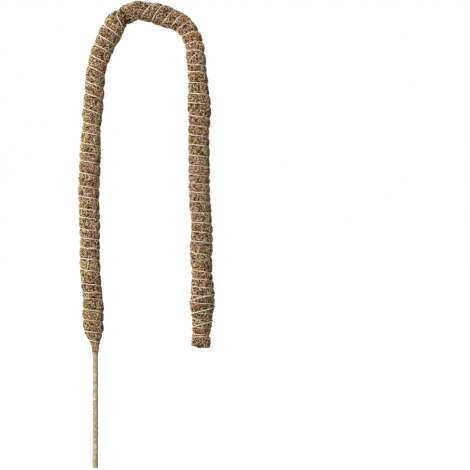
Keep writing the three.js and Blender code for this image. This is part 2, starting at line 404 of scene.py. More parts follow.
@dataclass(frozen=True)
class TwineFinish(MattFinish):
    """Pale jute twine. Its map holds the plies' ridges across and the lay, which repeats, upwards."""

    name: str = "jute_twine"
    # Painted shade for the valleys between the plies.
    valley: Colour = paint(226, 206, 174)
    ridge: Colour = paint(255, 247, 228)
    pale: Colour = paint(255, 253, 246)
    ridge_share: float = 1.2
    blotch_ring: float = 1.7
    blotch_height: float = 0.4
    blotch_scale: float = 3.0
    blotch_detail: float = 4.0
    blotch_middle: float = 0.6
    pale_break: Break = (0.5, 1 / 3)
    roughness: float = 0.85

    def shader(self, graph: Graph) -> Wire:
        """Twine with painted shade in the valleys between its plies, paler on its ridges, and paler in
        blotches along it.

        Args:
            graph: The material's graph.

        Returns:
            The shader.
        """
        ridge = graph.node("ShaderNodeUVMap", uv_map=MAP).parts()
        turn = ridge.out("Y") * TAU
        ring = graph.joined(
            X=turn.math("COSINE", turn) * self.blotch_ring,
            Y=turn.math("SINE", turn) * self.blotch_ring,
            Z=ridge * self.blotch_height,
        )
        blotch = graph.noise(ring, self.blotch_scale, self.blotch_detail)
        # Painted shade: darker in the valleys between the plies. The blotches are the twine's own colour.
        crest = (ridge * self.ridge_share + (blotch - self.blotch_middle)).clamped()
        yarn = graph.mix(crest, self.valley, self.ridge)
        return self.matt(graph, graph.mix(blotch.past(*self.pale_break), yarn, self.pale))


@dataclass(frozen=True)
class WrapFinish(MattFinish):
    """The jute tape on the core: khaki, woven fine, specked where it is worn, and greyer at its cut end."""

    name: str = "jute_tape"
    shadow: Colour = paint(158, 143, 113)
    body: Colour = paint(199, 187, 157)
    light: Colour = paint(224, 215, 190)
    speck: Colour = paint(104, 87, 64)
    tip: Colour = paint(176, 179, 158)
    # Painted shade for the tape's right side.
    edge: Colour = paint(88, 70, 44)
    weave_stretch: Vector = (0.6, 0.6, 1.9)
    weave_scale: float = 640.0
    stain_scale: float = 160.0
    stain_share: float = 0.5
    speck_scale: float = 950.0
    speck_detail: float = 1.0
    speck_shift: Vector = (0.3, 0.1, 0.7)
    body_break: Break = (0.36, 1 / 3.6)
    light_break: Break = (0.75, 0.25)
    speck_break: Break = (0.68, 1 / 9)
    speck_strength: float = 0.85
    worn_height: float = 89 * MM
    worn_reach: float = 6 * MM
    worn_specks: float = 0.16
    foot_top: Break = (36 * MM, -36 * MM)
    foot_side: Break = (-1.2 * MM, 3 * MM)
    foot_specks: float = 0.2
    # Painted shade down the right side: where it sets in across the tape, how high it reaches, and how strong
    # it is.
    edge_side: Break = (2.2 * MM, 1.3 * MM)
    edge_height: Break = (10 * MM, 90 * MM)
    edge_strength: float = 0.75
    tip_top: Break = (5 * MM, -5 * MM)
    tip_strength: float = 0.8
    roughness: float = 0.88

    def shader(self, graph: Graph) -> Wire:
        """Woven tape with painted shade down its right side, specks, and a grey tip.

        Args:
            graph: The material's graph.

        Returns:
            The shader.
        """
        place = graph.node("ShaderNodeTexCoord").out("Object")
        side = place.parts()
        height = side.out("Z")
        flat = graph.node("ShaderNodeMapping", {"Vector": place, "Scale": self.weave_stretch})
        weave = graph.noise(flat, self.weave_scale)
        stain = graph.noise(place, self.stain_scale)
        grain = graph.noise(flat.shifted(self.speck_shift), self.speck_scale, self.speck_detail)
        woven = graph.mix(weave.past(*self.body_break), self.shadow, self.body)
        mottle = (weave + stain * self.stain_share).past(*self.light_break)
        mottled = graph.mix(mottle, woven, self.light)
        # Painted shade: darker down the tape's right side (+X), fading out towards the tip.
        edge = side.past(*self.edge_side) * height.past(*self.edge_height) * self.edge_strength
        painted_edge_shade = graph.mix(edge, mottled, self.edge)
        away = (height - self.worn_height) / self.worn_reach
        worn = (1.0 - away * away).clamped() * self.worn_specks
        foot = height.past(*self.foot_top) * side.past(*self.foot_side) * self.foot_specks
        specks = (grain + worn.math("MAXIMUM", worn, foot)).past(*self.speck_break)
        specked = graph.mix(specks * self.speck_strength, painted_edge_shade, self.speck)
        tip = height.past(*self.tip_top) * self.tip_strength
        return self.matt(graph, graph.mix(tip, specked, self.tip), weave + grain)


@dataclass(frozen=True)
class SteelFinish(Finish):
    """Drawn steel wire with a dull, streaked skin."""

    name: str = "drawn_steel"
    bright: Colour = paint(176, 178, 180)
    dull: Colour = paint(118, 117, 114)
    streak_scale: float = 900.0
    streak_detail: float = 3.0
    roughness: float = 0.3
    streak_roughness: float = 0.3

    def shader(self, graph: Graph) -> Wire:
        """Metal that is rougher in its streaks.

        Args:
            graph: The material's graph.

        Returns:
            The shader.
        """
        place = graph.node("ShaderNodeTexCoord").out("Object")
        streak = graph.noise(place, self.streak_scale, self.streak_detail)
        values = {
            "Base Color": graph.mix(streak, self.bright, self.dull),
            "Metallic": 1.0,
            "Roughness": self.roughness + streak * self.streak_roughness,
        }
        return graph.node("ShaderNodeBsdfPrincipled", values)


@dataclass(frozen=True)
class FloorFinish(Finish):
    """A plain pale floor that the camera sees as white paper, with a faint shadow near the pole."""

    name: str = "studio_floor"
    paper: Colour = paint(200, 200, 200)
    shadow_share: float = 0.22
    shadow_reach: float = 0.9
    glow: float = 1.17

    def shader(self, graph: Graph) -> Wire:
        """White where it is seen directly, and pale paper to the light that falls on it.

        Args:
            graph: The material's graph.

        Returns:
            The shader.
        """
        matt = graph.node("ShaderNodeBsdfDiffuse", {"Color": self.paper})
        glow = graph.node("ShaderNodeEmission", {"Color": WHITE, "Strength": self.glow})
        place = graph.node("ShaderNodeTexCoord").out("Object")
        away = graph.node("ShaderNodeVectorMath", {"Vector": place}, operation="LENGTH")
        share = (1.0 - away / self.shadow_reach).clamped() * self.shadow_share
        seen = graph.node("ShaderNodeMixShader", {0: share, 1: glow, 2: matt})
        return graph.node("ShaderNodeMixShader", {0: seen_directly(graph), 1: matt, 2: seen})


def seen_directly(graph: Graph) -> Wire:
    """A value of 1 on rays from the camera, and on those that gloss or glass sends on."""
    path = graph.node("ShaderNodeLightPath")
    return (path.out("Is Camera Ray") + path.out("Is Glossy Ray") + path.out("Is Transmission Ray")).clamped()


def ring_angles(count: int) -> Array:
    """Angles for the points of a ring, as a row."""
    return np.linspace(0.0, TAU, count, endpoint=False)[None, :]


def skin(name: str, rings: Array, ends: Ends, mapped: bool = False) -> Mesh:
    """Lays quads over rings of points.

    Args:
        name: The mesh's name.
        rings: The points, as rings by points round by three. Each ring closes on itself.
        ends: How the skin is closed.
        mapped: Whether it gets a map, round the rings and along them.

    Returns:
        The mesh, smooth, with its faces outwards.
    """
    count, sides, _ = rings.shape
    joins = count if ends is Ends.PIPE else count - 1
    ring, side = (grid.ravel() for grid in np.meshgrid(range(joins), range(sides), indexing="ij"))
    far, beside = (ring + 1) % count, (side + 1) % sides
    corners = (ring * sides + side, far * sides + side, far * sides + beside, ring * sides + beside)
    faces = np.stack(corners, axis=1).tolist()
    if ends is Ends.CAPPED:
        faces.append(list(range(sides)))
        faces.append(list(range(count * sides - 1, (count - 1) * sides - 1, -1)))
    mesh = bpy.data.meshes.new(name)
    mesh.from_pydata(rings.reshape(-1, 3).tolist(), [], faces)
    mesh.shade_smooth()
    if mapped:
        steps = np.linalg.norm(np.diff(rings, axis=0, append=rings[:1]), axis=2).mean(axis=1)[:joins]
        along = np.concatenate(([0.0], np.cumsum(steps))) / steps.sum()
        low, high = side / sides, (side + 1) / sides
        near, away = along[ring], along[ring + 1]
        places = np.stack((low, near, low, away, high, away, high, near), axis=1)
        mesh.uv_layers.new(name=MAP).data.foreach_set("uv", places.astype(np.float32).ravel())
    return mesh


def chain(name: str, paths: list[Array]) -> Mesh:
    """Joins each path's points by edges, one after the other.

    Args:
        name: The mesh's name.
        paths: The points of each path.

    Returns:
        A mesh of edges.
    """
    edges = []
    first = 0
    for path in paths:
        edges += [(first + index, first + index + 1) for index in range(len(path) - 1)]
        first += len(path)
    mesh = bpy.data.meshes.new(name)
    mesh.from_pydata(np.concatenate(paths).tolist(), edges, [])
    return mesh


def store(mesh: Mesh, vectors: Mapping[str, Array], **numbers: Array | float) -> None:
    """Stores values on a mesh's points, each under its name.

    Args:
        mesh: The mesh.
        vectors: Vectors by name, one for each point.
        numbers: Numbers, one for each point or one for all.
    """
    for name, value in vectors.items():
        ways = np.asarray(value, dtype=np.float32).ravel()
        mesh.attributes.new(name, "FLOAT_VECTOR", "POINT").data.foreach_set("vector", ways)
    for name, value in numbers.items():
        row = np.empty(len(mesh.vertices), dtype=np.float32)
        row[:] = np.ravel(value)
        mesh.attributes.new(name, "FLOAT", "POINT").data.foreach_set("value", row)


def facings(mesh: Mesh) -> Array:
    """The smooth normals of a mesh's points.

    Args:
        mesh: The mesh.

    Returns:
        One normal for each point.
    """
    normals = np.empty(3 * len(mesh.vertices), dtype=np.float32)
    mesh.vertex_normals.foreach_get("vector", normals)
    return normals.reshape(-1, 3)


def placed(mesh: Mesh, material: Material | None = None) -> Piece:
    """Puts a mesh into the scene as a piece under the mesh's name.

    Args:
        mesh: The mesh.
        material: Its finish, unless it has one.

    Returns:
        The piece.
    """
    if material is not None:
        mesh.materials.append(material)
    piece = bpy.data.objects.new(mesh.name, mesh)
    bpy.context.scene.collection.objects.link(piece)
    return piece


class GeometryGraph(Graph):
    """A geometry tree that grows something on a bed, with its inputs by name."""

    def __init__(self, name: str, sockets: Mapping[str, str]) -> None:
        """Starts the tree.

        Args:
            name: The tree's name.
            sockets: Its inputs next to the bed, by name, with their socket types.
        """
        super().__init__(bpy.data.node_groups.new(name, "GeometryNodeTree"))
        self.tree.interface.new_socket("Result", in_out="OUTPUT", socket_type="NodeSocketGeometry")
        for label, kind in {"Bed": "NodeSocketGeometry", **sockets}.items():
            self.tree.interface.new_socket(label, in_out="INPUT", socket_type=kind)
        group = self.node("NodeGroupInput")
        self.given = {label: group.out(label) for label in ("Bed", *sockets)}

    def named(self, name: str, kind: str = "FLOAT") -> Wire:
        """A mesh's own attribute."""
        return self.node("GeometryNodeInputNamedAttribute", {"Name": name}, data_type=kind)

    def random(self, low: Wire | float, high: Wire | float, seed: Wire) -> Wire:
        """A random value for each element."""
        return self.node("FunctionNodeRandomValue", {"Min": low, "Max": high, "Seed": seed})

    def upright(self, normal: Wire) -> Wire:
        """A rotation that stands a shape up along a normal."""
        return self.node("FunctionNodeAlignRotationToVector", {"Vector": normal}, axis="Z")

    def turned(self, rotation: Wire, turn: Wire) -> Wire:
        """A rotation with a further turn about its own axes."""
        values = {"Rotation": rotation, "Rotate By": turn}
        return self.node("FunctionNodeRotateRotation", values, rotation_space="LOCAL")

    def ring(self, sides: int) -> Wire:
        """A round curve with a radius of 1."""
        return self.node("GeometryNodeCurvePrimitiveCircle", {"Resolution": sides, "Radius": 1.0})

    def swept(self, curves: Wire, ring: Wire, girth: Wire) -> Wire:
        """A closed mesh round curves."""
        sockets = {"Curve": curves, "Profile Curve": ring, "Scale": girth, "Fill Caps": True}
        return self.node("GeometryNodeCurveToMesh", sockets)

    def keep(
        self, geometry: Wire, name: str, value: Wire | float, kind: str = "FLOAT", domain: str = "POINT"
    ) -> Wire:
        """Stores a value on a geometry under a name.

        Args:
            geometry: What holds the value.
            name: The attribute's name.
            value: The value.
            kind: Its data type.
            domain: What it is stored on.

        Returns:
            The geometry with its attribute.
        """
        sockets = {"Geometry": geometry, "Name": name, "Value": value}
        return self.node("GeometryNodeStoreNamedAttribute", sockets, data_type=kind, domain=domain)

    def keep_map(self, mesh: Wire, across: Wire, upwards: Wire) -> Wire:
        """Stores a mesh's map."""
        return self.keep(mesh, MAP, self.joined(X=across, Y=upwards), "FLOAT2", "CORNER")

    def planted(self, sockets: Mapping, own: Mapping[str, Wire]) -> Wire:
        """Sets copies of a shape on points.

        Args:
            sockets: The points, the shape, and each copy's rotation and scale.
            own: What each copy has of its own, by name.

        Returns:
            The copies, made real.
        """
        copies = self.node("GeometryNodeInstanceOnPoints", sockets)
        for name, value in own.items():
            copies = self.keep(copies, name, value, domain="INSTANCE")
        return self.node("GeometryNodeRealizeInstances", {"Geometry": copies})

    def end(self, mesh: Wire) -> None:
        """Ends the tree with a smooth, whole mesh in its finish.

        Args:
            mesh: What the tree has made.
        """
        smooth = self.node("GeometryNodeSetShadeSmooth", {"Geometry": mesh})
        whole = self.node("GeometryNodeRealizeInstances", {"Geometry": smooth})
        finish = {"Geometry": whole, "Material": self.given["Finish"]}
        self.node("NodeGroupOutput", {"Result": self.node("GeometryNodeSetMaterial", finish)})

    def grown(self, bed: Mesh, values: Mapping[str, object]) -> Piece:
        """Runs the tree on a bed and keeps the result as a plain piece.

        Args:
            bed: The mesh that the tree works on. The piece takes its name.
            values: The tree's inputs by name.

        Returns:
            The piece.
        """
        name = bed.name
        carrier = placed(bed)
        modifier = carrier.modifiers.new("growth", "NODES")
        modifier.node_group = self.tree
        for item in self.tree.interface.items_tree:
            if item.name in values:
                modifier[item.identifier] = values[item.name]
        depsgraph = bpy.context.evaluated_depsgraph_get()
        mesh = bpy.data.meshes.new_from_object(carrier.evaluated_get(depsgraph), depsgraph=depsgraph)
        carrier.modifiers.remove(modifier)
        bpy.data.objects.remove(carrier)
        bpy.data.meshes.remove(bed)
        for attribute in [a.name for a in mesh.attributes if a.domain == "POINT" and not a.is_required]:
            mesh.attributes.remove(mesh.attributes[attribute])
        mesh.name = name
        return placed(mesh)


@dataclass(frozen=True)
class Growth:
    """What a geometry tree grows on a bed. Its sizes are the tree's inputs, next to the finish."""

    @classmethod
    def sockets(cls) -> dict[str, str]:
        """The tree's inputs by name, with their socket types."""
        kinds = {size.name.capitalize(): SOCKET_KINDS[size.type] for size in fields(cls)}
        return kinds | {"Finish": "NodeSocketMaterial"}

    def inputs(self, finish: Material) -> dict[str, object]:
        """The values of the tree's inputs by name."""
        return {name.capitalize(): size for name, size in vars(self).items()} | {"Finish": finish}


@dataclass(frozen=True)
class Strands(Growth):
    """Loose strands on a bed: how many, how far apart at least, how large and how they lie."""

    density: float
    spacing: float
    shortest: float
    longest: float
    thickness: float
    lift: float
    sink: float
    curl: float
    loose: float = 0.0
    contrast: float = 0.5
    bound: float = 0.0
    points: int = 5
    seed: int = 1


@dataclass(frozen=True)
class CutFibres(Growth):
    """Short ends of cut fibre on a bed."""

    density: float
    length: float
    thickness: float
    seed: int


class StrandTree(GeometryGraph):
    """Geometry nodes that scatter curly strands over a bed and lay them along it.

    The bed's points hold facing (outward), forward (along), lean (how far strands turn from forward), sway
    (how much that varies), growth (a share of the density), room (how far bound strands can rise), shade
    (light or dark) and warmth (straw or rust). Bound strands weave up and down with a fine grain, and lie
    flat where the twine holds them. Strands are lighter where they lie higher and darker where they lie
    lower, which is painted shade.
    """

    SIDES = 3
    WAVES = 2.2
    END_POWER = 4.0
    TAPER = 0.65
    GRAIN = 800.0
    GRAIN_RISE = 2.2
    GRAIN_SHARE = 0.6
    # Painted shade: strands are lighter where the grain or their rise lifts them and darker where they lie
    # low.
    GRAIN_TINT = 2.4
    RISE_TINT = 0.35
    TINTS = (-0.2, 0.2)
    HEATS = (-0.05, 0.05)
    GIRTHS = (0.65, 1.35)
    NUMBERS = (0.0, 900.0)
    TINT_WIDTH = 0.012

    def __init__(self) -> None:
        """Builds the tree."""
        super().__init__("hairs", Strands.sockets())
        self.end(self.mapped(self.thickened(self.laid(self.scattered()))))

    def scattered(self) -> Wire:
        """Straight strands on the bed, each with its own tint, warmth, lift, girth and number.

        Returns:
            The strands as curves.
        """
        given, seed = self.given, self.given["Seed"]
        points = self.node(
            "GeometryNodeDistributePointsOnFaces",
            {
                "Mesh": given["Bed"],
                "Distance Min": given["Spacing"],
                "Density Max": given["Density"],
                "Density Factor": self.named("growth"),
                "Seed": seed,
            },
            distribute_method="POISSON",
        )
        upright = self.upright(points.out("Normal"))
        ahead = {"Rotation": upright, "Vector": self.named("forward", "FLOAT_VECTOR")}
        level = self.node("FunctionNodeAlignRotationToVector", ahead, axis="X", pivot_axis="Z")
        angle = self.random(-1.0, 1.0, seed + 1) * self.named("sway") + self.named("lean")
        spin = self.node("FunctionNodeAxisAngleToRotation", {"Axis": (0.0, 0.0, 1.0), "Angle": angle})
        ends = {"Start": (-0.5, 0.0, 0.0), "End": (0.5, 0.0, 0.0)}
        line = self.node("GeometryNodeCurvePrimitiveLine", ends)
        strand = self.node("GeometryNodeResampleCurve", {"Curve": line, "Count": given["Points"]})
        length = self.random(given["Shortest"], given["Longest"], seed + 2)
        rise = self.random(0.0, 1.0, seed + 5)
        return self.planted(
            {
                "Points": points,
                "Instance": strand,
                "Rotation": self.turned(level, spin),
                "Scale": self.joined(X=length, Y=1.0, Z=1.0),
            },
            {
                # A random tone, with painted shade from the strand's rise: higher strands are lighter.
                "tint": self.random(*self.TINTS, seed + 3) + (rise - 0.5) * self.RISE_TINT,
                "heat": self.random(*self.HEATS, seed + 4),
                "rise": rise,
                "girth": self.random(*self.GIRTHS, seed + 6),
                "number": self.random(*self.NUMBERS, seed + 7),
            },
        )

    def laid(self, strands: Wire) -> Wire:
        """Curls the strands and lays them on the bed, arched or with one end free.

        Args:
            strands: Straight strands.

        Returns:
            The strands on the bed.
        """
        given, bound = self.given, self.given["Bound"]
        along = self.node("GeometryNodeSplineParameter")
        wave = self.noise(self.joined(X=along * self.WAVES, Y=self.named("number")), 1.0, 1.0)
        curl = wave.out("Color").shifted((-0.5, -0.5, -0.5)).scaled(given["Curl"])
        place = self.node("GeometryNodeInputPosition")
        bent = place.shifted(curl)
        seat = self.on_bed(place, bent, "FLOAT_VECTOR")
        outward = self.on_bed(self.named("facing", "FLOAT_VECTOR"), bent, "FLOAT_VECTOR")
        held = bound * (1.0 - self.on_bed(self.named("room"), bent))
        grain = (self.noise(seat, self.GRAIN, 0.0) - 0.5) * bound
        woven = (grain * self.GRAIN_RISE + bound * 0.5).clamped() * self.GRAIN_SHARE
        rise = self.named("rise") * (1.0 - bound * self.GRAIN_SHARE) + woven
        edge = self.nearness(along)
        free = given["Loose"] * (along - 1.0 + edge)
        height = (1.0 - edge + free) * given["Lift"] * rise * (1.0 - held) - (edge - free) * given["Sink"]
        # Painted shade: the strand is lighter where the grain lifts it and darker where it sinks.
        tint = (self.named("tint") + grain * self.GRAIN_TINT) * given["Contrast"]
        strands = self.keep(strands, "tint", tint + self.on_bed(self.named("shade"), bent))
        strands = self.keep(strands, "heat", self.named("heat") + self.on_bed(self.named("warmth"), bent))
        spot = seat.shifted(outward.scaled(height))
        return self.node("GeometryNodeSetPosition", {"Geometry": strands, "Position": spot})

    def on_bed(self, value: Wire, place: Wire, kind: str = "FLOAT") -> Wire:
        """What the bed holds where it is nearest to a place."""
        sockets = {"Mesh": self.given["Bed"], "Sample Position": place, "Value": value}
        return self.node("GeometryNodeSampleNearestSurface", sockets, data_type=kind)

    def nearness(self, along: Wire) -> Wire:
        """How near a strand's points are to its ends, from 0 in its middle to 1."""
        return (along * 2.0 - 1.0) ** self.END_POWER

    def thickened(self, strands: Wire) -> Wire:
        """Gives the strands their thickness, tapered at the ends.

        Args:
            strands: The strands as curves.

        Returns:
            The strands as a mesh.
        """
        along = self.node("GeometryNodeSplineParameter")
        strands = self.keep(strands, "along", along)
        taper = 1.0 - self.nearness(along) * self.TAPER
        girth = self.given["Thickness"] * 0.5 * self.named("girth") * taper
        ring = self.keep(self.ring(self.SIDES), "around", self.node("GeometryNodeSplineParameter"))
        return self.swept(strands, ring, girth)

    def mapped(self, mesh: Wire) -> Wire:
        """Maps each strand to a patch about its own tint and warmth.

        Args:
            mesh: The strands' mesh.

        Returns:
            The mesh with its map.
        """
        width = self.TINT_WIDTH
        place = []
        for value, spread in (("tint", "around"), ("heat", "along")):
            held = self.named(value).clamped() * (1.0 - 2.0 * width) + 0.5 * width
            place.append(held + self.named(spread) * width)
        return self.keep_map(mesh, *place)


class TwineTree(GeometryGraph):
    """Geometry nodes that lay plied twine along paths.

    The paths' points hold outward (a direction across the path), twist (the plies' angle), swell (a share of
    the radius) and lay (the place along the map).
    """

    PLIES = 3
    SIDES = 12
    PLY_DEPTH = 0.17
    RIDGE_SPAN = 0.48

    def __init__(self) -> None:
        """Builds the tree."""
        sockets = {"Radius": "NodeSocketFloat", "Finish": "NodeSocketMaterial"}
        super().__init__("plied_twine", sockets)
        given = self.given
        paths = self.node("GeometryNodeMeshToCurve", {"Mesh": given["Bed"]})
        normal = {"Curve": paths, "Normal": self.named("outward", "FLOAT_VECTOR")}
        paths = self.node("GeometryNodeSetCurveNormal", normal, mode="FREE")
        paths = self.node("GeometryNodeSetCurveTilt", {"Curve": paths, "Tilt": self.named("twist")})
        around = self.node("GeometryNodeSplineParameter") * (TAU * self.PLIES)
        ring = self.keep(self.ring(self.SIDES), "ridge", around.math("COSINE", around))
        plump = (self.named("ridge") * self.PLY_DEPTH + 1.0) / (1.0 + self.PLY_DEPTH)
        lobed = self.node("GeometryNodeInputPosition").scaled(plump)
        ring = self.node("GeometryNodeSetPosition", {"Geometry": ring, "Position": lobed})
        mesh = self.swept(paths, ring, given["Radius"] * self.named("swell"))
        mesh = self.keep_map(mesh, self.named("ridge") * self.RIDGE_SPAN + 0.5, self.named("lay"))
        self.end(mesh)


class BristleTree(GeometryGraph):
    """Geometry nodes that stand short cut fibre ends on a bed."""

    SIDES = 4
    LEAN = 0.5
    HEAD_SHARE = 0.4
    FOOT_SHARE = 0.5
    LENGTHS = (0.5, 1.0)
    TINTS = (0.1, 0.75)
    HEATS = (0.3, 0.9)
    MAP_SPREAD = 30.0

    def __init__(self) -> None:
        """Builds the tree."""
        super().__init__("cut_ends", CutFibres.sockets())
        given, seed = self.given, self.given["Seed"]
        growth = {"Mesh": given["Bed"], "Density": given["Density"], "Seed": seed}
        points = self.node("GeometryNodeDistributePointsOnFaces", growth)
        limits = {"Min": (-self.LEAN, -self.LEAN, 0.0), "Max": (self.LEAN, self.LEAN, TAU), "Seed": seed + 1}
        tilt = self.node("FunctionNodeRandomValue", limits, data_type="FLOAT_VECTOR")
        lean = self.node("FunctionNodeEulerToRotation", {"Euler": tilt})
        end = {
            "Vertices": self.SIDES,
            "Radius Top": given["Thickness"] * self.HEAD_SHARE,
            "Radius Bottom": given["Thickness"] * self.FOOT_SHARE,
            "Depth": given["Length"],
        }
        end = self.node("GeometryNodeMeshCone", end)
        spread = self.node("GeometryNodeInputPosition").scaled(self.MAP_SPREAD)
        mesh = self.planted(
            {
                "Points": points,
                "Instance": self.keep(end, "spread", spread, "FLOAT_VECTOR"),
                "Rotation": self.turned(self.upright(points.out("Normal")), lean),
                "Scale": self.joined(X=1.0, Y=1.0, Z=self.random(*self.LENGTHS, seed + 2)),
            },
            {"tint": self.random(*self.TINTS, seed + 3), "heat": self.random(*self.HEATS, seed + 4)},
        )
        parts = self.named("spread", "FLOAT_VECTOR").parts()
        mesh = self.keep_map(mesh, self.named("tint") + parts, self.named("heat") + parts.out("Y"))
        self.end(mesh)


@dataclass(frozen=True)
class Run:
    """A length of the middle line that turns over to the right by some degrees, at a steady rate."""

    length: float
    turn: float = 0.0


@dataclass(frozen=True)
class Stretch:
    """A length of the pole between two cuts. It bends where two different bodies carry its ends."""

    name: str
    lower: str
    upper: str
    runs: tuple[Run, ...]

    @property
    def bends(self) -> bool:
        """Whether the stretch bends between two bodies."""
        return self.lower != self.upper


RISER_RUNS = (
    Run(STAKE_LENGTH), Run(36 * MM, -4.8), Run(130 * MM, 3.2), Run(80 * MM, 3.4), Run(130 * MM, 2.7),
)
ARM_RUNS = (
    Run(46 * MM), Run(60 * MM, 4.6), Run(98 * MM, -2.5), Run(24 * MM, -4.3), Run(24 * MM, 5.9),
    Run(166 * MM),
)
STRETCHES = (
    Stretch("riser", "riser", "riser", RISER_RUNS),
    Stretch("riser_bend", "riser", "haunch", (Run(80 * MM, 24),)),
    Stretch("haunch", "haunch", "haunch", (Run(12 * MM, 8),)),
    Stretch("haunch_bend", "haunch", "left_shoulder", (Run(26 * MM, 30),)),
    Stretch("left_shoulder", "left_shoulder", "left_shoulder", (Run(8 * MM, 9),)),
    Stretch("left_shoulder_bend", "left_shoulder", "crown", (Run(26 * MM, 30),)),
    Stretch("crown", "crown", "crown", (Run(30 * MM, 9),)),
    Stretch("crown_bend", "crown", "right_shoulder", (Run(26 * MM, 27),)),
    Stretch("right_shoulder", "right_shoulder", "right_shoulder", (Run(8 * MM, 8),)),
    Stretch("right_shoulder_bend", "right_shoulder", "arm", (Run(26 * MM, 27),)),
    Stretch("arm", "arm", "arm", ARM_RUNS),
)


class MiddleLine:
    """The pole's middle line: arcs laid end to end, from the stake's cut end to the free end."""

    def __init__(self, stretches: tuple[Stretch, ...]) -> None:
        """Lays the arcs.

        Args:
            stretches: The pole's stretches in order.
        """
        arcs = []
        self.spans: dict[str, Span] = {}
        station = x = z = heading = 0.0
        for stretch in stretches:
            first = station
            for run in stretch.runs:
                half = math.radians(run.turn) / 2.0
                arcs.append((station, x, z, heading, 2.0 * half / run.length))
                chord = run.length * float(np.sinc(half / math.pi))
                x += chord * math.sin(heading + half)
                z += chord * math.cos(heading + half)
                heading += 2.0 * half
                station += run.length
            self.spans[stretch.name] = (first, station)
        self.arcs = np.array(arcs)
        self.length = station

    def at(self, station: Array) -> tuple[Array, Array, Array]:
        """The line's points, with its forward directions and those to the outside of the arch.

        Args:
            station: Distances along the line.

        Returns:
            Points, forward and outward directions.
        """
        index = np.searchsorted(self.arcs[:, 0], station, side="right") - 1
        start, x, z, heading, bend = np.moveaxis(self.arcs[np.maximum(index, 0)], -1, 0)
        half = bend * (station - start) / 2.0
        chord = (station - start) * np.sinc(half / np.pi)
        level = np.zeros_like(x)
        point = np.stack((x + chord * np.sin(heading + half), level, z + chord * np.cos(heading + half)), -1)
        heading = heading + 2.0 * half
        forward = np.stack((np.sin(heading), level, np.cos(heading)), -1)
        outward = np.stack((-np.cos(heading), level, np.sin(heading)), -1)
        return point, forward, outward

    def place(self, station: Array, angle: Array, radius: Array) -> Array:
        """Points round the line. Angle 0 is the front, and a quarter turn is the outside of the arch.

        Args:
            station: Distances along the line.
            angle: Angles round it.
            radius: Distances from it.

        Returns:
            The points.
        """
        station, angle, radius = np.broadcast_arrays(station, angle, radius)
        point, _, outward = self.at(station)
        ray = np.cos(angle)[..., None] * FRONT + np.sin(angle)[..., None] * outward
        return point + radius[..., None] * ray


@dataclass(frozen=True)
class Winding:
    """The binding twine's route: a left-handed spiral, then a lashing back over its last turns.

    The crossings are where the turns pass the front, in millimetres along the pole. The slants, by turn, are
    how much of a turn's step the twine saves on the sides, so that it crosses the front more level.
    """

    crossings: tuple[float, ...] = (
        *(179, 192, 208.5, 223, 239.5, 248, 259.5, 279, 295, 310.5, 324, 336.5, 353, 365, 382, 396.5),
        *(415, 432, 444.5, 457, 472, 485.5, 504, 525.5, 541.5, 562.5, 578, 594, 607.5, 622.5, 641),
        *(683.5, 698.5, 715, 728, 739.5, 753.5, 768, 779.5, 800, 810, 825.5, 841, 854.5, 873, 886.5, 900),
        *(913.5, 928.5, 942.5, 955.5, 967.5, 980, 993, 1009, 1022.5, 1036, 1049.5, 1066.5, 1091, 1102.5),
        *(1113.5, 1126, 1136, 1150, 1158.5, 1163.5, 1170.5, 1180.5),
    )
    slants: Steps = (
        *((0, 0.03), (20, 0.05), (22, -0.02), (25, -0.02), (27, 0.02), (29, 0.07), (30, 0.03), (31, -0.13)),
        *((33, -0.11), (34, -0.04), (36, 0.0), (38, 0.06), (60, 0.07), (69, 0.07)),
    )
    lashing_slant: float = 0.06
    lashing_turns: int = 3
    lashing_pitch: float = 19 * MM
    lashing_start: float = 4.5 * MM
    spare_turns: float = 16.0
    table_steps: int = 40001

    @property
    def turns(self) -> int:
        """How many turns the spiral has."""
        return len(self.crossings) - 1

    @property
    def last_station(self) -> float:
        """Where the last turn crosses the front."""
        return self.crossings[-1] * MM

    @property
    def pitch(self) -> float:
        """The mean step from turn to turn."""
        return (self.crossings[-1] - self.crossings[0]) * MM / self.turns

    def station_of(self, turn: Array) -> Array:
        """The spiral's station after a number of turns. It goes on at its mean step past both ends.

        Args:
            turn: Turns, counted from the first crossing of the front.

        Returns:
            Distances along the pole.
        """
        at = np.array(self.crossings) * MM
        slopes = np.gradient(at)
        count = turn - np.interp(turn, *np.array(self.slants).T) * np.sin(TAU * turn)
        inside = np.clip(count, 0.0, self.turns)
        index = np.minimum(inside.astype(int), self.turns - 1)
        part = inside - index
        rise = part * part * (3.0 - 2.0 * part)
        start = part * (1.0 - part) ** 2 * slopes[index]
        end = part * part * (part - 1.0) * slopes[index + 1]
        smooth = at[index] + (at[index + 1] - at[index]) * rise + start + end
        return smooth + (count - inside) * self.pitch

    def turn_at(self, station: Array) -> Array:
        """The turn at which the spiral passes a station."""
        turns = np.linspace(-self.spare_turns, self.turns + self.spare_turns, self.table_steps)
        return np.interp(station, self.station_of(turns), turns)

    def neighbours(self, station: Array, angle: Array) -> tuple[Array, Array]:
        """The stations of the turns below and above points of the coir.

        Args:
            station: The points' distances along the pole.
            angle: Their angles round it.

        Returns:
            The stations of the turns below and of those above.
        """
        part = angle / TAU
        whole = np.floor(self.turn_at(station) - part)
        return self.station_of(whole + part), self.station_of(whole + 1.0 + part)


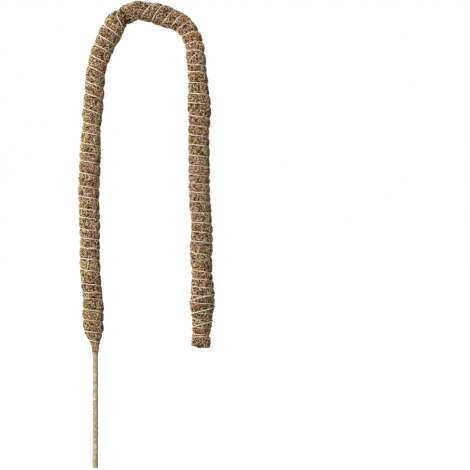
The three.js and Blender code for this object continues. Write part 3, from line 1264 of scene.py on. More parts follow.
class Lumps:
    """Unevenness in space, made of waves in random directions."""

    WAVES = 14
    LENGTHS = (0.7, 1.4)

    def __init__(self, seed: int, wavelength: float) -> None:
        """Draws the waves.

        Args:
            seed: What the random draws start from.
            wavelength: The waves' mean length.
        """
        draw = np.random.default_rng(seed)
        ways = draw.normal(size=(self.WAVES, 3))
        ways /= np.linalg.norm(ways, axis=1, keepdims=True)
        self.ways = ways * TAU / (wavelength * draw.uniform(*self.LENGTHS, (self.WAVES, 1)))
        self.phases = draw.uniform(0.0, TAU, self.WAVES)

    def at(self, points: Array) -> Array:
        """The unevenness at points, about 1 either way."""
        return np.sin(points @ self.ways.T + self.phases).sum(axis=-1) * math.sqrt(2.0 / self.WAVES)


Layers = tuple[tuple[Lumps, float], ...]


def uneven(layers: Layers, points: Array) -> Array:
    """The sum of layers of unevenness at points, each times its height."""
    return sum(height * lumps.at(points) for lumps, height in layers)


@dataclass(frozen=True)
class Spot:
    """A place on the coir that stands out, by its rise, its shade or its warmth, as far as it reaches."""

    station: float
    degrees: float
    reach: float
    rise: float = 0.0
    shade: float = 0.0
    warmth: float = 0.0

    def share(self, station: Array, angle: Array, radius: float) -> Array:
        """How much of the spot each point has, from 0 to 1, on coir of some radius."""
        turn = (angle - math.radians(self.degrees) + math.pi) % TAU - math.pi
        return np.exp(-((station - self.station) ** 2 + (radius * turn) ** 2) / self.reach**2)


@dataclass(frozen=True)
class Crease:
    """A fold in the coir on the inside of a sharp bend, of which some share goes all round."""

    station: float
    depth: float
    width: float = 3 * MM
    all_round: float = 0.0
    narrowing: float = 1.5

    def dent(self, station: Array, angle: Array) -> Array:
        """How deep the fold is at points."""
        share = np.maximum(np.clip(-np.sin(angle), 0.0, 1.0) ** self.narrowing, self.all_round)
        return self.depth * share * np.exp(-(((station - self.station) / self.width) ** 2))


@dataclass(frozen=True)
class CoirShape:
    """The coir sleeve's surface: plump between the turns of twine, tapered at its foot, cut at its end.

    The girths are diameters on the crests at stations along the pole. The leans are how far the coir sits off
    the core's middle there, to the outside of the arch. Both are in millimetres.
    """

    line: MiddleLine
    winding: Winding
    bore: float = 8 * MM
    thinnest: float = 0.12 * MM
    mean_radius: float = 14 * MM
    taper: Span = (STAKE_LENGTH + 6 * MM, STAKE_LENGTH + 36 * MM)
    groove_depth: float = 1.45 * MM
    groove_change: tuple[Lumps, float] = (Lumps(15, 60 * MM), 0.35)
    groove_limits: Span = (0.3, 2.0)
    plumpness: float = 0.07
    fullest: float = 9 * MM
    pillow: float = 0.55
    girths: Steps = (
        *((140, 7.4), (164, 8.0), (172, 9.8), (179, 14.2), (187, 21.2), (195, 26.4), (216, 28.4)),
        *((250, 26.4), (290, 27.8), (320, 26.2), (342, 28.0), (380, 27.4), (437, 29.2), (482, 24.6)),
        *((520, 26.8), (556, 24.8), (620, 30.0), (657, 25.2), (679, 25.6), (703, 28.8), (750, 25.0)),
        *((818, 25.2), (858, 31.2), (905, 28.2), (978, 29.0), (1015, 27.8), (1043, 30.2), (1085, 28.0)),
        *((1137, 33.2), (1162, 27.4), (1181, 25.0), (1200, 26.2)),
    )
    leans: Steps = (
        *((166, 0.0), (180, 1.6), (197, 1.0), (230, -0.6), (280, 0.8), (330, -1.1), (440, 0.0), (500, 0.1)),
        *((524, -1.0), (560, 0.2), (615, -1.0), (660, 0.7), (682, -0.9), (720, -0.2), (742, 1.9), (770, 0.0)),
        *((830, 1.4), (1080, 1.8), (1105, 3.2), (1160, 3.5), (1185, 1.6), (1200, 1.2)),
    )
    spots: tuple[Spot, ...] = (
        Spot(190 * MM, 0, 10 * MM, shade=-0.06, warmth=0.3),
        Spot(217 * MM, 45, 9 * MM, shade=0.03, warmth=0.35),
        # Painted light: the next three spots make the outside of the riser lighter, and two of them yellower.
        Spot(226 * MM, 60, 12 * MM, shade=0.3),
        Spot(313 * MM, 55, 18 * MM, shade=0.05, warmth=-0.2),
        Spot(366 * MM, 58, 26 * MM, shade=0.1, warmth=-0.15),
        Spot(424 * MM, 18, 6 * MM, rise=0.5 * MM, shade=0.08, warmth=0.6),
        Spot(460 * MM, -60, 12 * MM, shade=0.3),
        # Painted light: lighter and yellower on the outside of the riser.
        Spot(470 * MM, 62, 20 * MM, shade=0.25, warmth=-0.3),
        Spot(492 * MM, -15, 24 * MM, shade=0.2),
        Spot(514 * MM, -35, 8 * MM, rise=0.9 * MM, warmth=0.4),
        # Painted shade: the next five spots darken the fold at the sharp bend.
        Spot(649 * MM, -75, 5 * MM, shade=-0.8),
        Spot(649 * MM, -45, 5 * MM, shade=-0.8),
        Spot(649 * MM, -15, 5 * MM, shade=-0.7),
        Spot(649 * MM, 15, 5 * MM, shade=-0.6),
        Spot(648 * MM, 45, 5 * MM, shade=-0.45),
        Spot(684 * MM, 0, 24 * MM, shade=-0.22),
        Spot(722 * MM, 0, 22 * MM, shade=-0.07, warmth=0.1),
        Spot(735 * MM, -80, 7 * MM, shade=0.12, warmth=1.2),
        Spot(743 * MM, -76, 8 * MM, rise=0.6 * MM, shade=0.14, warmth=1.6),
        Spot(757 * MM, 8, 6 * MM, rise=0.3 * MM, shade=0.04, warmth=0.5),
        # Painted light and shade: the arm is lighter on its outside and darker on its inside, which the crown
        # shades. The second spot's warmth is the coir's own.
        Spot(782 * MM, 68, 36 * MM, shade=0.42),
        Spot(774 * MM, -62, 26 * MM, shade=-0.28, warmth=0.15),
        Spot(790 * MM, -8, 13 * MM, shade=-0.05, warmth=0.4),
        # Painted shade: the next two spots darken the inside of the arm. The second spot's warmth is the
        # coir's own.
        Spot(830 * MM, -60, 22 * MM, shade=-0.28),
        Spot(908 * MM, -60, 18 * MM, shade=-0.25, warmth=0.15),
        Spot(1138 * MM, 45, 28 * MM, shade=-0.24, warmth=0.1),
        Spot(1144 * MM, -30, 11 * MM, rise=0.8 * MM, shade=-0.04, warmth=0.2),
        Spot(1166 * MM, 0, 10 * MM, shade=-0.3, warmth=-0.2),
        Spot(1190 * MM, -10, 10 * MM, shade=-0.02, warmth=0.3),
    )
    creases: tuple[Crease, ...] = (
        Crease(647 * MM, 3.4 * MM, 2.6 * MM, 0.6),
        Crease(680 * MM, 0.8 * MM),
        Crease(729 * MM, 1.4 * MM),
        Crease(768 * MM, 1.0 * MM),
    )
    swells: Layers = ((Lumps(11, 46 * MM), 0.25 * MM), (Lumps(12, 19 * MM), 0.3 * MM))
    clumps: Layers = ((Lumps(13, 7 * MM), 0.2 * MM), (Lumps(14, 3.6 * MM), 0.12 * MM))

    @staticmethod
    def profile(steps: Steps, station: Array) -> Array:
        """Smooth values between those given at stations.

        Args:
            steps: Stations with their values, in millimetres.
            station: Where to read the values.

        Returns:
            The values there.
        """
        at, values = np.array(steps).T * MM
        index = np.clip(np.searchsorted(at, station) - 1, 0, len(at) - 2)
        share = eased((station - at[index]) / (at[index + 1] - at[index]), 0.0, 1.0)
        return values[index] + (values[index + 1] - values[index]) * share

    def crest(self, station: Array) -> Array:
        """The mean radius of the crests."""
        return 0.5 * self.profile(self.girths, station)

    def fullness(self, station: Array) -> Array:
        """How far the taper at the foot has opened, from 0 to 1."""
        return eased(station, *self.taper)

    def marked(self, measure: str, station: Array, angle: Array) -> Array:
        """The sum of the spots' rise, shade or warmth at points."""
        shares = ((spot, spot.share(station, angle, self.mean_radius)) for spot in self.spots)
        return sum(getattr(spot, measure) * share for spot, share in shares)

    def bulk(self, station: Array, angle: Array) -> Array:
        """The crests' radius with the slow swells, spots and creases, but without clumps of fibre.

        Args:
            station: Distances along the pole.
            angle: Angles round it.

        Returns:
            Radii.
        """
        crest = self.crest(station)
        rise = uneven(self.swells, self.line.place(station, angle, crest))
        rise = rise + self.marked("rise", station, angle)
        rise = rise - sum(crease.dent(station, angle) for crease in self.creases)
        rise = rise + self.profile(self.leans, station) * np.sin(angle)
        return crest + rise * self.fullness(station)

    def plump(self, station: Array, angle: Array) -> tuple[Array, Array]:
        """How far each point is up the pillow between two turns, and how wide that pillow is.

        Args:
            station: Distances along the pole.
            angle: Angles round it.

        Returns:
            Shares from 0 under the twine to 1 between turns, and the steps from turn to turn.
        """
        below, above = self.winding.neighbours(station, angle)
        share = np.clip((station - below) / (above - below), 0.0, 1.0)
        covered = station < self.winding.last_station + 0.5 * self.winding.pitch
        pillow = np.where(covered, np.sin(np.pi * share) ** self.pillow, 1.0)
        return pillow, np.where(covered, above - below, self.winding.pitch)

    def surface(self, station: Array, angle: Array) -> Array:
        """The sleeve's outer radius.

        Args:
            station: Distances along the pole.
            angle: Angles round it.

        Returns:
            Radii.
        """
        bulk = self.bulk(station, angle)
        pillow, step = self.plump(station, angle)
        points = self.line.place(station, angle, bulk)
        rise = self.plumpness * np.minimum(step - self.winding.pitch, self.fullest)
        rise = rise + uneven(self.clumps, points)
        relief = rise * pillow - self.groove(points) * (1.0 - pillow)
        return np.maximum(bulk + relief * self.fullness(station), 0.5 * self.bore + self.thinnest)

    def seat(self, station: Array, angle: Array) -> Array:
        """The radius at the bottom of a groove, where the twine lies."""
        bulk = self.bulk(station, angle)
        return bulk - self.groove(self.line.place(station, angle, bulk)) * self.fullness(station)

    def groove(self, points: Array) -> Array:
        """How deep the twine is pulled into the coir."""
        lumps, share = self.groove_change
        return self.groove_depth * np.clip(1.0 + share * lumps.at(points), *self.groove_limits)


@dataclass(frozen=True)
class CoirTone:
    """How light and how warm the loose fibres are.

    They carry painted shade by the twine, and painted light: lighter on the outside of the arch, and yellower
    on the outside of the riser but redder on its inside. They are patchy all over and like straw on the
    narrow foot.
    The shape's spots come on top, and some of them are painted light and shade too.
    """

    shade: float = 0.61
    # Painted light on the outside of the arch.
    outer_light: float = 0.07
    patch_light: float = 0.03
    # Painted shade in the grooves by the twine.
    groove_dark: float = 0.8
    foot_dark: float = 0.04
    foot_light: float = 0.14
    foot_power: int = 4
    foot: Span = (165 * MM, 185 * MM)
    warmth: float = 0.45
    # Painted light: yellower on the outside of the riser and redder on its inside, fading out between the
    # next ends.
    golden: float = 0.2
    golden_ends: Span = (600 * MM, 760 * MM)
    patch_warmth: float = 0.24
    fleck_warmth: float = 0.1
    light_patches: Lumps = Lumps(21, 34 * MM)
    warm_patches: Lumps = Lumps(22, 24 * MM)
    flecks: Lumps = Lumps(24, 10 * MM)

    def over(
        self, shape: CoirShape, station: Array, angle: Array, points: Array, pillow: Array
    ) -> tuple[Array, Array]:
        """The tone of fibres on the coir.

        Args:
            shape: The coir's shape.
            station: The fibres' distances along the pole.
            angle: Their angles round it.
            points: Their places.
            pillow: How far they are up the pillows between turns.

        Returns:
            Shades from 0, dark, to 1, and warmths from 0, straw, to 1, rust.
        """
        narrow = 1.0 - eased(station, *self.foot)
        # Painted light: lighter on the outside of the arch.
        shade = self.shade + self.outer_light * np.maximum(np.sin(angle), 0.0)
        shade = shade + self.patch_light * self.light_patches.at(points)
        # Painted shade: darker in the grooves by the twine.
        shade = shade - self.groove_dark * (1.0 - pillow) ** 2 + shape.marked("shade", station, angle)
        shade = shade - self.foot_dark * narrow + self.foot_light * narrow**self.foot_power
        # Painted light: yellower on the outside of the riser, where the light falls, and redder on its
        # inside.
        golden = self.golden * np.sin(angle) * (1.0 - eased(station, *self.golden_ends))
        warmth = self.warmth - golden + self.patch_warmth * self.warm_patches.at(points)
        warmth = warmth + self.fleck_warmth * self.flecks.at(points)
        return shade, (warmth + shape.marked("warmth", station, angle)) * (1.0 - narrow)


@dataclass
class CoirSleeve:
    """The coir round the core: matted fibre under loose strands, with cut ends at the free end."""

    shape: CoirShape
    hairs: StrandTree
    bristles: BristleTree
    mat_finish: Material
    fibre_finish: Material
    columns: int = 96
    row_step: float = 0.95 * MM
    bore_stride: int = 8
    layers: int = 7
    trim: float = 2.6 * MM
    trim_slant: float = 1.2 * MM
    trim_reach: float = 25 * MM
    bed_columns: int = 72
    bed_step: float = 1.25 * MM
    bed_margin: float = 10 * MM
    bed_past: float = 0.5 * MM
    longest_bed: float = 150 * MM
    foot_depth: float = 0.45 * MM
    foot_rise: Span = (170 * MM, 192 * MM)
    foot_fade: float = 6 * MM
    bare_end: float = 1.2 * MM
    loosening: Span = (176 * MM, 205 * MM)
    whorls: Lumps = Lumps(25, 17 * MM)
    whorl_lean: float = 0.7
    least_sway: float = 0.2
    more_sway: float = 1.1
    growth_span: Span = (-0.05, 0.4)
    room_span: Span = (0.05, 0.5)
    tone: CoirTone = CoirTone()
    matted: Strands = Strands(
        density=3.0e6, spacing=1.42 * MM, shortest=7 * MM, longest=11 * MM, thickness=0.5 * MM,
        lift=1.3 * MM, sink=0.2 * MM, curl=4 * MM, contrast=2.6, bound=1.0, points=8,
    )
    collar: Strands = Strands(
        density=420000.0, spacing=0.0, shortest=6 * MM, longest=13 * MM, thickness=0.42 * MM,
        lift=1.3 * MM, sink=0.2 * MM, curl=1.2 * MM, contrast=1.5, seed=45,
    )
    collar_ends: Span = (STAKE_LENGTH - 6 * MM, STAKE_LENGTH + 16 * MM)
    collar_fade: float = 12 * MM
    flyaway: Strands = Strands(
        density=5200.0, spacing=0.0, shortest=6 * MM, longest=13 * MM, thickness=0.22 * MM,
        lift=3.4 * MM, sink=0.4 * MM, curl=9 * MM, loose=1.0, contrast=0.6, seed=40,
    )
    cut_fibres: CutFibres = CutFibres(density=4.2e6, length=1.1 * MM, thickness=0.42 * MM, seed=60)
    face_rings: int = 5
    rim_inset: float = 0.5 * MM
    bore_inset: float = 0.4 * MM

    def cut(self, station: Array, angle: Array) -> Array:
        """Stations drawn back towards the free end, which is trimmed a little aslant.

        Args:
            station: Distances along the pole.
            angle: Angles round it.

        Returns:
            The distances after the trim.
        """
        length = self.shape.line.length
        drawn_back = self.trim - self.trim_slant * np.sin(angle)
        return station - eased(station, length - self.trim_reach, length) * drawn_back

    def mat(self, name: str, first: float, last: float) -> Piece:
        """One length of matted coir, bored for the core.

        Args:
            name: The piece's name.
            first: Where it starts along the pole.
            last: Where it ends.

        Returns:
            The piece.
        """
        angles = ring_angles(self.columns)
        rows = np.linspace(first, last, max(3, round((last - first) / self.row_step)))[:, None]
        bore = 0.5 * self.shape.bore
        outside = self.shape.surface(rows, angles)
        depths = np.linspace(0.0, 1.0, self.layers + 1)[1:, None]
        head = outside[-1] * (1.0 - depths) + bore * depths
        foot = (outside[0] * (1.0 - depths) + bore * depths)[::-1]
        inside = rows[:: -self.bore_stride][1:]
        stations = [
            np.broadcast_to(rows, outside.shape),
            np.full(head.shape, last),
            np.broadcast_to(inside, (len(inside), self.columns)),
            np.full(foot.shape, first),
        ]
        radii = [outside, head, np.full((len(inside), self.columns), bore), foot]
        station = self.cut(np.concatenate(stations), angles)
        rings = self.shape.line.place(station, angles, np.concatenate(radii))
        return placed(skin(name, rings, Ends.PIPE, mapped=True), self.mat_finish)

    def bed(self, name: str, first: float, last: float, fade: float = 0.0) -> Mesh:
        """The surface that strands lie on, a little longer than the length that they grow on.

        Args:
            name: The bed's name.
            first: Where strands start to grow along the pole.
            last: Where they stop.
            fade: The length over which their growth sets in.

        Returns:
            The bed with what the strand tree reads.
        """
        shape = self.shape
        low = first - self.bed_margin
        high = min(last + self.bed_margin, shape.line.length + self.bed_past)
        rows = np.linspace(low, high, math.ceil((high - low) / self.bed_step))
        station, angle = np.meshgrid(rows, ring_angles(self.bed_columns), indexing="ij")
        sunk = self.foot_depth * (1.0 - eased(station, *self.foot_rise))
        points = shape.line.place(self.cut(station, angle), angle, shape.surface(station, angle) - sunk)
        mesh = skin(name, points, Ends.OPEN)
        _, forward, _ = shape.line.at(station)
        pillow, _ = shape.plump(station, angle)
        shade, warmth = self.tone.over(shape, station, angle, points, pillow)
        loosened = eased(station, *self.loosening)
        grows = (station >= first) & (station <= min(last, shape.line.length - self.bare_end))
        if fade:
            grows = grows * eased(station, first, first + fade)
        store(
            mesh,
            {"facing": facings(mesh), "forward": forward},
            lean=self.whorl_lean * self.whorls.at(points) * loosened,
            sway=self.least_sway + self.more_sway * loosened,
            growth=grows * eased(pillow, *self.growth_span),
            room=eased(pillow, *self.room_span),
            shade=shade,
            warmth=warmth,
        )
        return mesh

    def fibres(self, name: str, first: float, last: float, strands: Strands) -> list[Piece]:
        """Strands over a length of the coir, in pieces of a handy size.

        Args:
            name: The pieces' name, which gets a number where there are several.
            first: Where they start along the pole.
            last: Where they end.
            strands: What they are like.

        Returns:
            The pieces. A length too short for any strand has none.
        """
        count = math.ceil((last - first) / self.longest_bed)
        cuts = np.linspace(first, last, count + 1)
        pieces = []
        for index in range(count):
            label = name if count == 1 else f"{name}_{index + 1}"
            fade = self.foot_fade if cuts[index] == STAKE_LENGTH else 0.0
            bed = self.bed(label, cuts[index], cuts[index + 1], fade)
            piece = self.hairs.grown(bed, strands.inputs(self.fibre_finish))
            if len(piece.data.polygons):
                pieces.append(piece)
            else:
                bpy.data.objects.remove(piece)
        return pieces

    def collar_fibres(self, name: str) -> Piece:
        """Long fibres that run from the taper at the foot down onto the stake."""
        bed = self.bed(name, *self.collar_ends, self.collar_fade)
        return self.hairs.grown(bed, self.collar.inputs(self.fibre_finish))

    def cut_ends(self, name: str) -> Piece:
        """The cut fibre ends on the face of the free end.

        Args:
            name: The piece's name.

        Returns:
            The piece.
        """
        last = self.shape.line.length
        angles = ring_angles(self.columns)
        rim = self.shape.surface(np.array([[last]]), angles) - self.rim_inset
        middle = 0.5 * self.shape.bore + self.bore_inset
        depths = np.linspace(0.0, 1.0, self.face_rings)[:, None]
        radii = rim * (1.0 - depths) + middle * depths
        station = self.cut(np.full(radii.shape, last), angles)
        bed = skin(name, self.shape.line.place(station, angles, radii), Ends.OPEN)
        return self.bristles.grown(bed, self.cut_fibres.inputs(self.fibre_finish))


@dataclass(frozen=True)
class Stray:
    """A loose strand of twine on the coir, whose far end may stand off.

    Its first and last places are stations along the pole with angles round it in degrees.
    """

    name: str
    body: str
    first: tuple[float, float]
    last: tuple[float, float]
    lift: float = 0.0


STRAYS = (
    Stray("stray_twine_low", "riser", (284 * MM, 9.0), (295 * MM, 4.0)),
    Stray("stray_twine_high", "riser", (406.5 * MM, -4.0), (415 * MM, -3.0)),
    Stray("stray_twine_slant", "arm", (784 * MM, 8.0), (796.5 * MM, -50.0)),
    Stray("stray_twine_loop", "arm", (1139 * MM, -84.0), (1150 * MM, -62.0)),
    Stray("stray_twine_tail", "arm", (1131.5 * MM, -62.0), (1134 * MM, -98.0), 2.6 * MM),
    Stray("stray_twine_end", "arm", (1184 * MM, -55.0), (1182.5 * MM, 70.0)),
)


@dataclass
class BindingTwine:
    """The twine wound round the coir, its lashing, its two knots and a few stray strands."""

    shape: CoirShape
    tree: TwineTree
    finish: Material
    diameter: float = 1.35 * MM
    bite: float = -0.35 * MM
    lay: float = 9 * MM
    repeat: float = 90 * MM
    steps_per_turn: int = 104
    swell: Lumps = Lumps(31, 14 * MM)
    swell_share: float = 0.06
    first_turn: float = -0.5
    lashing_lift: float = 1.6 * MM
    stray_diameter: float = 1.15 * MM
    stray_points: int = 30
    stray_seat: float = 0.45
    stray_lift: float = 0.6 * MM
    stray_sway: float = 0.05
    stray_half_waves: float = 3.0
    stray_tuck: float = 0.9 * MM
    stray_tuck_power: int = 6
    stray_free: Span = (0.3, 1.0)
    knot_diameter: float = 4.6 * MM
    knot_twine: float = 0.82
    knot_points: int = 140
    knot_seat: float = 0.36
    knot_span: float = 3.4
    knot_depth: float = 1.2
    knot_offset: float = 0.2 * MM
    tail: float = 11 * MM
    tail_points: int = 26
    tail_seat: float = 0.4
    tail_turn: float = 0.22
    tail_spread: float = 0.5
    tail_power: int = 3

    @property
    def last_turn(self) -> float:
        """The turn at which the lashing ends, at the back."""
        return self.shape.winding.turns + 0.5 + self.shape.winding.lashing_turns

    def route(self, turn: Array) -> tuple[Array, Array, Array]:
        """The twine's middle. After its last turn it climbs onto the coir's crests and winds back.

        Args:
            turn: Turns from the first crossing of the front.

        Returns:
            Stations, angles and radii.
        """
        winding = self.shape.winding
        back = np.maximum(0.0, turn - winding.turns - 0.5)
        climb = eased(turn, winding.turns, winding.turns + 0.5)
        spiral = winding.station_of(np.minimum(turn, winding.turns)) - winding.lashing_start * climb
        slant = winding.lashing_slant * np.sin(TAU * back)
        station = spiral - winding.lashing_pitch * (back - slant)
        angle = TAU * turn
        groove = self.shape.seat(station, angle) + 0.5 * self.diameter - self.bite
        crest = self.shape.bulk(station, angle) + self.lashing_lift - 0.5 * self.diameter
        return station, angle, groove + (crest - groove) * climb

    def plied(self, name: str, paths: list[Array], away: list[Array], diameter: float) -> Piece:
        """Plied twine along paths.

        Args:
            name: The piece's name.
            paths: Each path's points.
            away: For each point, a direction across its path.
            diameter: The twine's diameter.

        Returns:
            The piece.
        """
        mesh = chain(name, paths)
        lengths = []
        for path in paths:
            steps = np.linalg.norm(np.diff(path, axis=0), axis=1)
            lengths.append(np.concatenate(([0.0], np.cumsum(steps))))
        length = np.concatenate(lengths)
        store(
            mesh,
            {"outward": np.concatenate(away)},
            twist=length * TAU / self.lay,
            swell=1.0 + self.swell_share * self.swell.at(np.concatenate(paths)),
            lay=length / self.repeat,
        )
        return self.tree.grown(mesh, {"Radius": 0.5 * diameter, "Finish": self.finish})

    def wound(self, name: str, route: tuple[Array, Array, Array], diameter: float) -> Piece:
        """Plied twine along a route of stations, angles and radii."""
        path = self.shape.line.place(*route)
        return self.plied(name, [path], [path - self.shape.line.at(route[0])[0]], diameter)

    def length_of(self, name: str, first: float, last: float) -> Piece:
        """The twine between two turns."""
        turns = np.linspace(first, last, math.ceil((last - first) * self.steps_per_turn) + 1)
        return self.wound(name, self.route(turns), self.diameter)

    def stray(self, stray: Stray) -> Piece:
        """A loose strand that lies over the coir.

        Args:
            stray: Where it lies.

        Returns:
            The piece.
        """
        share = np.linspace(0.0, 1.0, self.stray_points)
        station = stray.first[0] + (stray.last[0] - stray.first[0]) * share
        angle = np.radians(stray.first[1] + (stray.last[1] - stray.first[1]) * share)
        angle = angle + self.stray_sway * np.sin(self.stray_half_waves * np.pi * share)
        radius = self.shape.surface(station, angle) + self.stray_seat * self.stray_diameter + self.stray_lift
        tuck = self.stray_tuck * np.abs(2.0 * share - 1.0) ** self.stray_tuck_power
        radius = 0.5 * (radius + radius.max()) - tuck
        radius = radius + stray.lift * eased(share, *self.stray_free)
        return self.wound(stray.name, (station, angle, radius), self.stray_diameter)

    def knot(self, name: str, turn: float, way: int) -> Piece:
        """A knot just past an end of the twine, with two short tails.

        Args:
            name: The piece's name.
            turn: The turn at which the twine ends.
            way: -1 before the twine's start, 1 past its end.

        Returns:
            The piece.
        """
        line, coir = self.shape.line, self.shape
        station, angle, radius = (float(value[0]) for value in self.route(np.array([turn])))
        angle += way * 0.5 * self.knot_diameter / radius
        bulk = float(coir.bulk(np.array([station]), np.array([angle]))[0])
        seat = bulk + self.knot_seat * self.knot_diameter
        middle = line.place(station, angle, seat)
        _, forward, outward = line.at(np.array(station))
        up = math.cos(angle) * FRONT + math.sin(angle) * outward
        across = np.cross(up, forward)
        loop = np.linspace(0.0, TAU, self.knot_points)
        reach = 0.5 * self.knot_diameter / self.knot_span
        # A trefoil's three loops, which its own whole numbers give.
        bends = (
            (np.sin(loop) + 2.0 * np.sin(2.0 * loop), across),
            (np.cos(loop) - 2.0 * np.cos(2.0 * loop), forward),
            (-self.knot_depth * np.sin(3.0 * loop), up),
        )
        paths = [middle + reach * sum(amount[:, None] * along for amount, along in bends)]
        share = np.linspace(0.0, 1.0, self.tail_points)
        for side in (-1.0, 1.0):
            along = station + side * self.tail * share
            round_by = angle + way * self.tail_turn * share * (1.0 + self.tail_spread * side)
            height = coir.surface(along, round_by) + self.tail_seat * self.diameter
            height = height + (seat - height[0]) * (1.0 - share) ** self.tail_power
            paths.append(line.place(along, round_by, height))
        away = [path - middle + self.knot_offset * up for path in paths]
        return self.plied(name, paths, away, self.knot_twine * self.diameter)


@dataclass
class Core:
    """The steel wire and the jute tape round it, which is bare on the stake."""

    line: MiddleLine
    hairs: StrandTree
    steel: Material
    tape: Material
    fuzz_finish: Material
    wire_diameter: float = 4 * MM
    wire_sides: int = 24
    stake_diameter: float = 7.4 * MM
    clearance: float = 0.3 * MM
    sides: int = 40
    bare_past: float = 10 * MM
    fine_step: float = 0.55 * MM
    coarse_step: float = 4 * MM
    chamfer: float = 0.35 * MM
    tape_pitch: float = 8.5 * MM
    tape_proud: float = 0.18 * MM
    tape_lap: float = 0.32 * MM
    lap_rise: Span = (0.0, 0.14)
    lap_fall: Span = (0.3, 1.0)
    lap_fall_share: float = 0.75
    thread_depth: float = 0.07 * MM
    threads_along: float = 9.0
    threads_round: float = 26.0
    wobble: Lumps = Lumps(41, 16 * MM)
    wobble_height: float = 0.1 * MM
    fuzz: Strands = Strands(
        density=70000.0, spacing=0.0, shortest=2 * MM, longest=6 * MM, thickness=0.12 * MM,
        lift=1.1 * MM, sink=0.1 * MM, curl=3.5 * MM, loose=0.8, contrast=0.3, seed=50,
    )
    fuzz_ends: Span = (1 * MM, STAKE_LENGTH + 4 * MM)
    fuzz_rows: int = 130
    fuzz_columns: int = 24
    fuzz_sway: float = 1.5
    fuzz_shade: float = 0.82
    fuzz_warmth: float = 0.1

    def wire(self, name: str, first: float, last: float) -> Piece:
        """One length of the wire, with its cut edges broken.

        Args:
            name: The piece's name.
            first: Where it starts along the pole.
            last: Where it ends.

        Returns:
            The piece.
        """
        steps = math.ceil((last - first) / self.coarse_step)
        inner = np.linspace(first + self.chamfer, last - self.chamfer, steps)
        rows = np.concatenate(([first], inner, [last]))[:, None]
        radii = np.full(rows.shape, 0.5 * self.wire_diameter)
        radii[[0, -1]] -= self.chamfer
        rings = self.line.place(rows, ring_angles(self.wire_sides), radii)
        return placed(skin(name, rings, Ends.CAPPED), self.steel)

    def lapped(self, station: Array, angle: Array) -> Array:
        """The tape's outer radius: each turn laps over the edge of the turn below.

        Args:
            station: Distances along the pole.
            angle: Angles round it.

        Returns:
            Radii.
        """
        turn = station / self.tape_pitch + angle / TAU
        part = turn - np.floor(turn)
        lap = eased(part, *self.lap_rise) * (1.0 - self.lap_fall_share * eased(part, *self.lap_fall))
        threads = np.sin(TAU * part * self.threads_along) * np.sin(self.threads_round * angle)
        points = self.line.place(station, angle, 0.5 * self.stake_diameter)
        outside = 0.5 * self.stake_diameter + self.tape_proud - self.tape_lap * (1.0 - lap)
        return outside + self.thread_depth * threads + self.wobble_height * self.wobble.at(points)

    def wrap(self, name: str, first: float, last: float) -> Piece:
        """One length of the tape, as a pipe round the wire. It is fine where it shows.

        Args:
            name: The piece's name.
            first: Where it starts along the pole.
            last: Where it ends.

        Returns:
            The piece.
        """
        bare = min(max(first, STAKE_LENGTH + self.bare_past), last)
        fine = np.linspace(first, bare, max(1, round((bare - first) / self.fine_step)), endpoint=False)
        coarse = np.linspace(bare, last, max(2, math.ceil((last - bare) / self.coarse_step)))
        rows = np.concatenate((fine, coarse) if bare > first else (coarse,))[:, None]
        angles = ring_angles(self.sides)
        bore = 0.5 * self.wire_diameter + self.clearance
        outside = self.lapped(*np.broadcast_arrays(rows, angles))
        outside[[0, -1]] -= self.chamfer
        inside = np.array([[last], [first]])
        if len(coarse) > 2:
            inside = np.concatenate(([last], coarse[::-1], [first]))[:, None]
        radii = np.concatenate((outside, np.full((len(inside), self.sides), bore)))
        rings = self.line.place(np.concatenate((rows, inside)), angles, radii)
        return placed(skin(name, rings, Ends.PIPE, mapped=True), self.tape)

    def stake_fuzz(self, name: str) -> Piece:
        """Short hairs of jute on the bare stake.

        Args:
            name: The piece's name.

        Returns:
            The piece.
        """
        rows = np.linspace(*self.fuzz_ends, self.fuzz_rows)
        station, angle = np.meshgrid(rows, ring_angles(self.fuzz_columns), indexing="ij")
        mesh = skin(name, self.line.place(station, angle, self.lapped(station, angle)), Ends.OPEN)
        _, forward, _ = self.line.at(station)
        store(
            mesh,
            {"facing": facings(mesh), "forward": forward},
            lean=0.0,
            sway=self.fuzz_sway,
            growth=1.0,
            room=1.0,
            shade=self.fuzz_shade,
            warmth=self.fuzz_warmth,
        )
        return self.hairs.grown(mesh, self.fuzz.inputs(self.fuzz_finish))


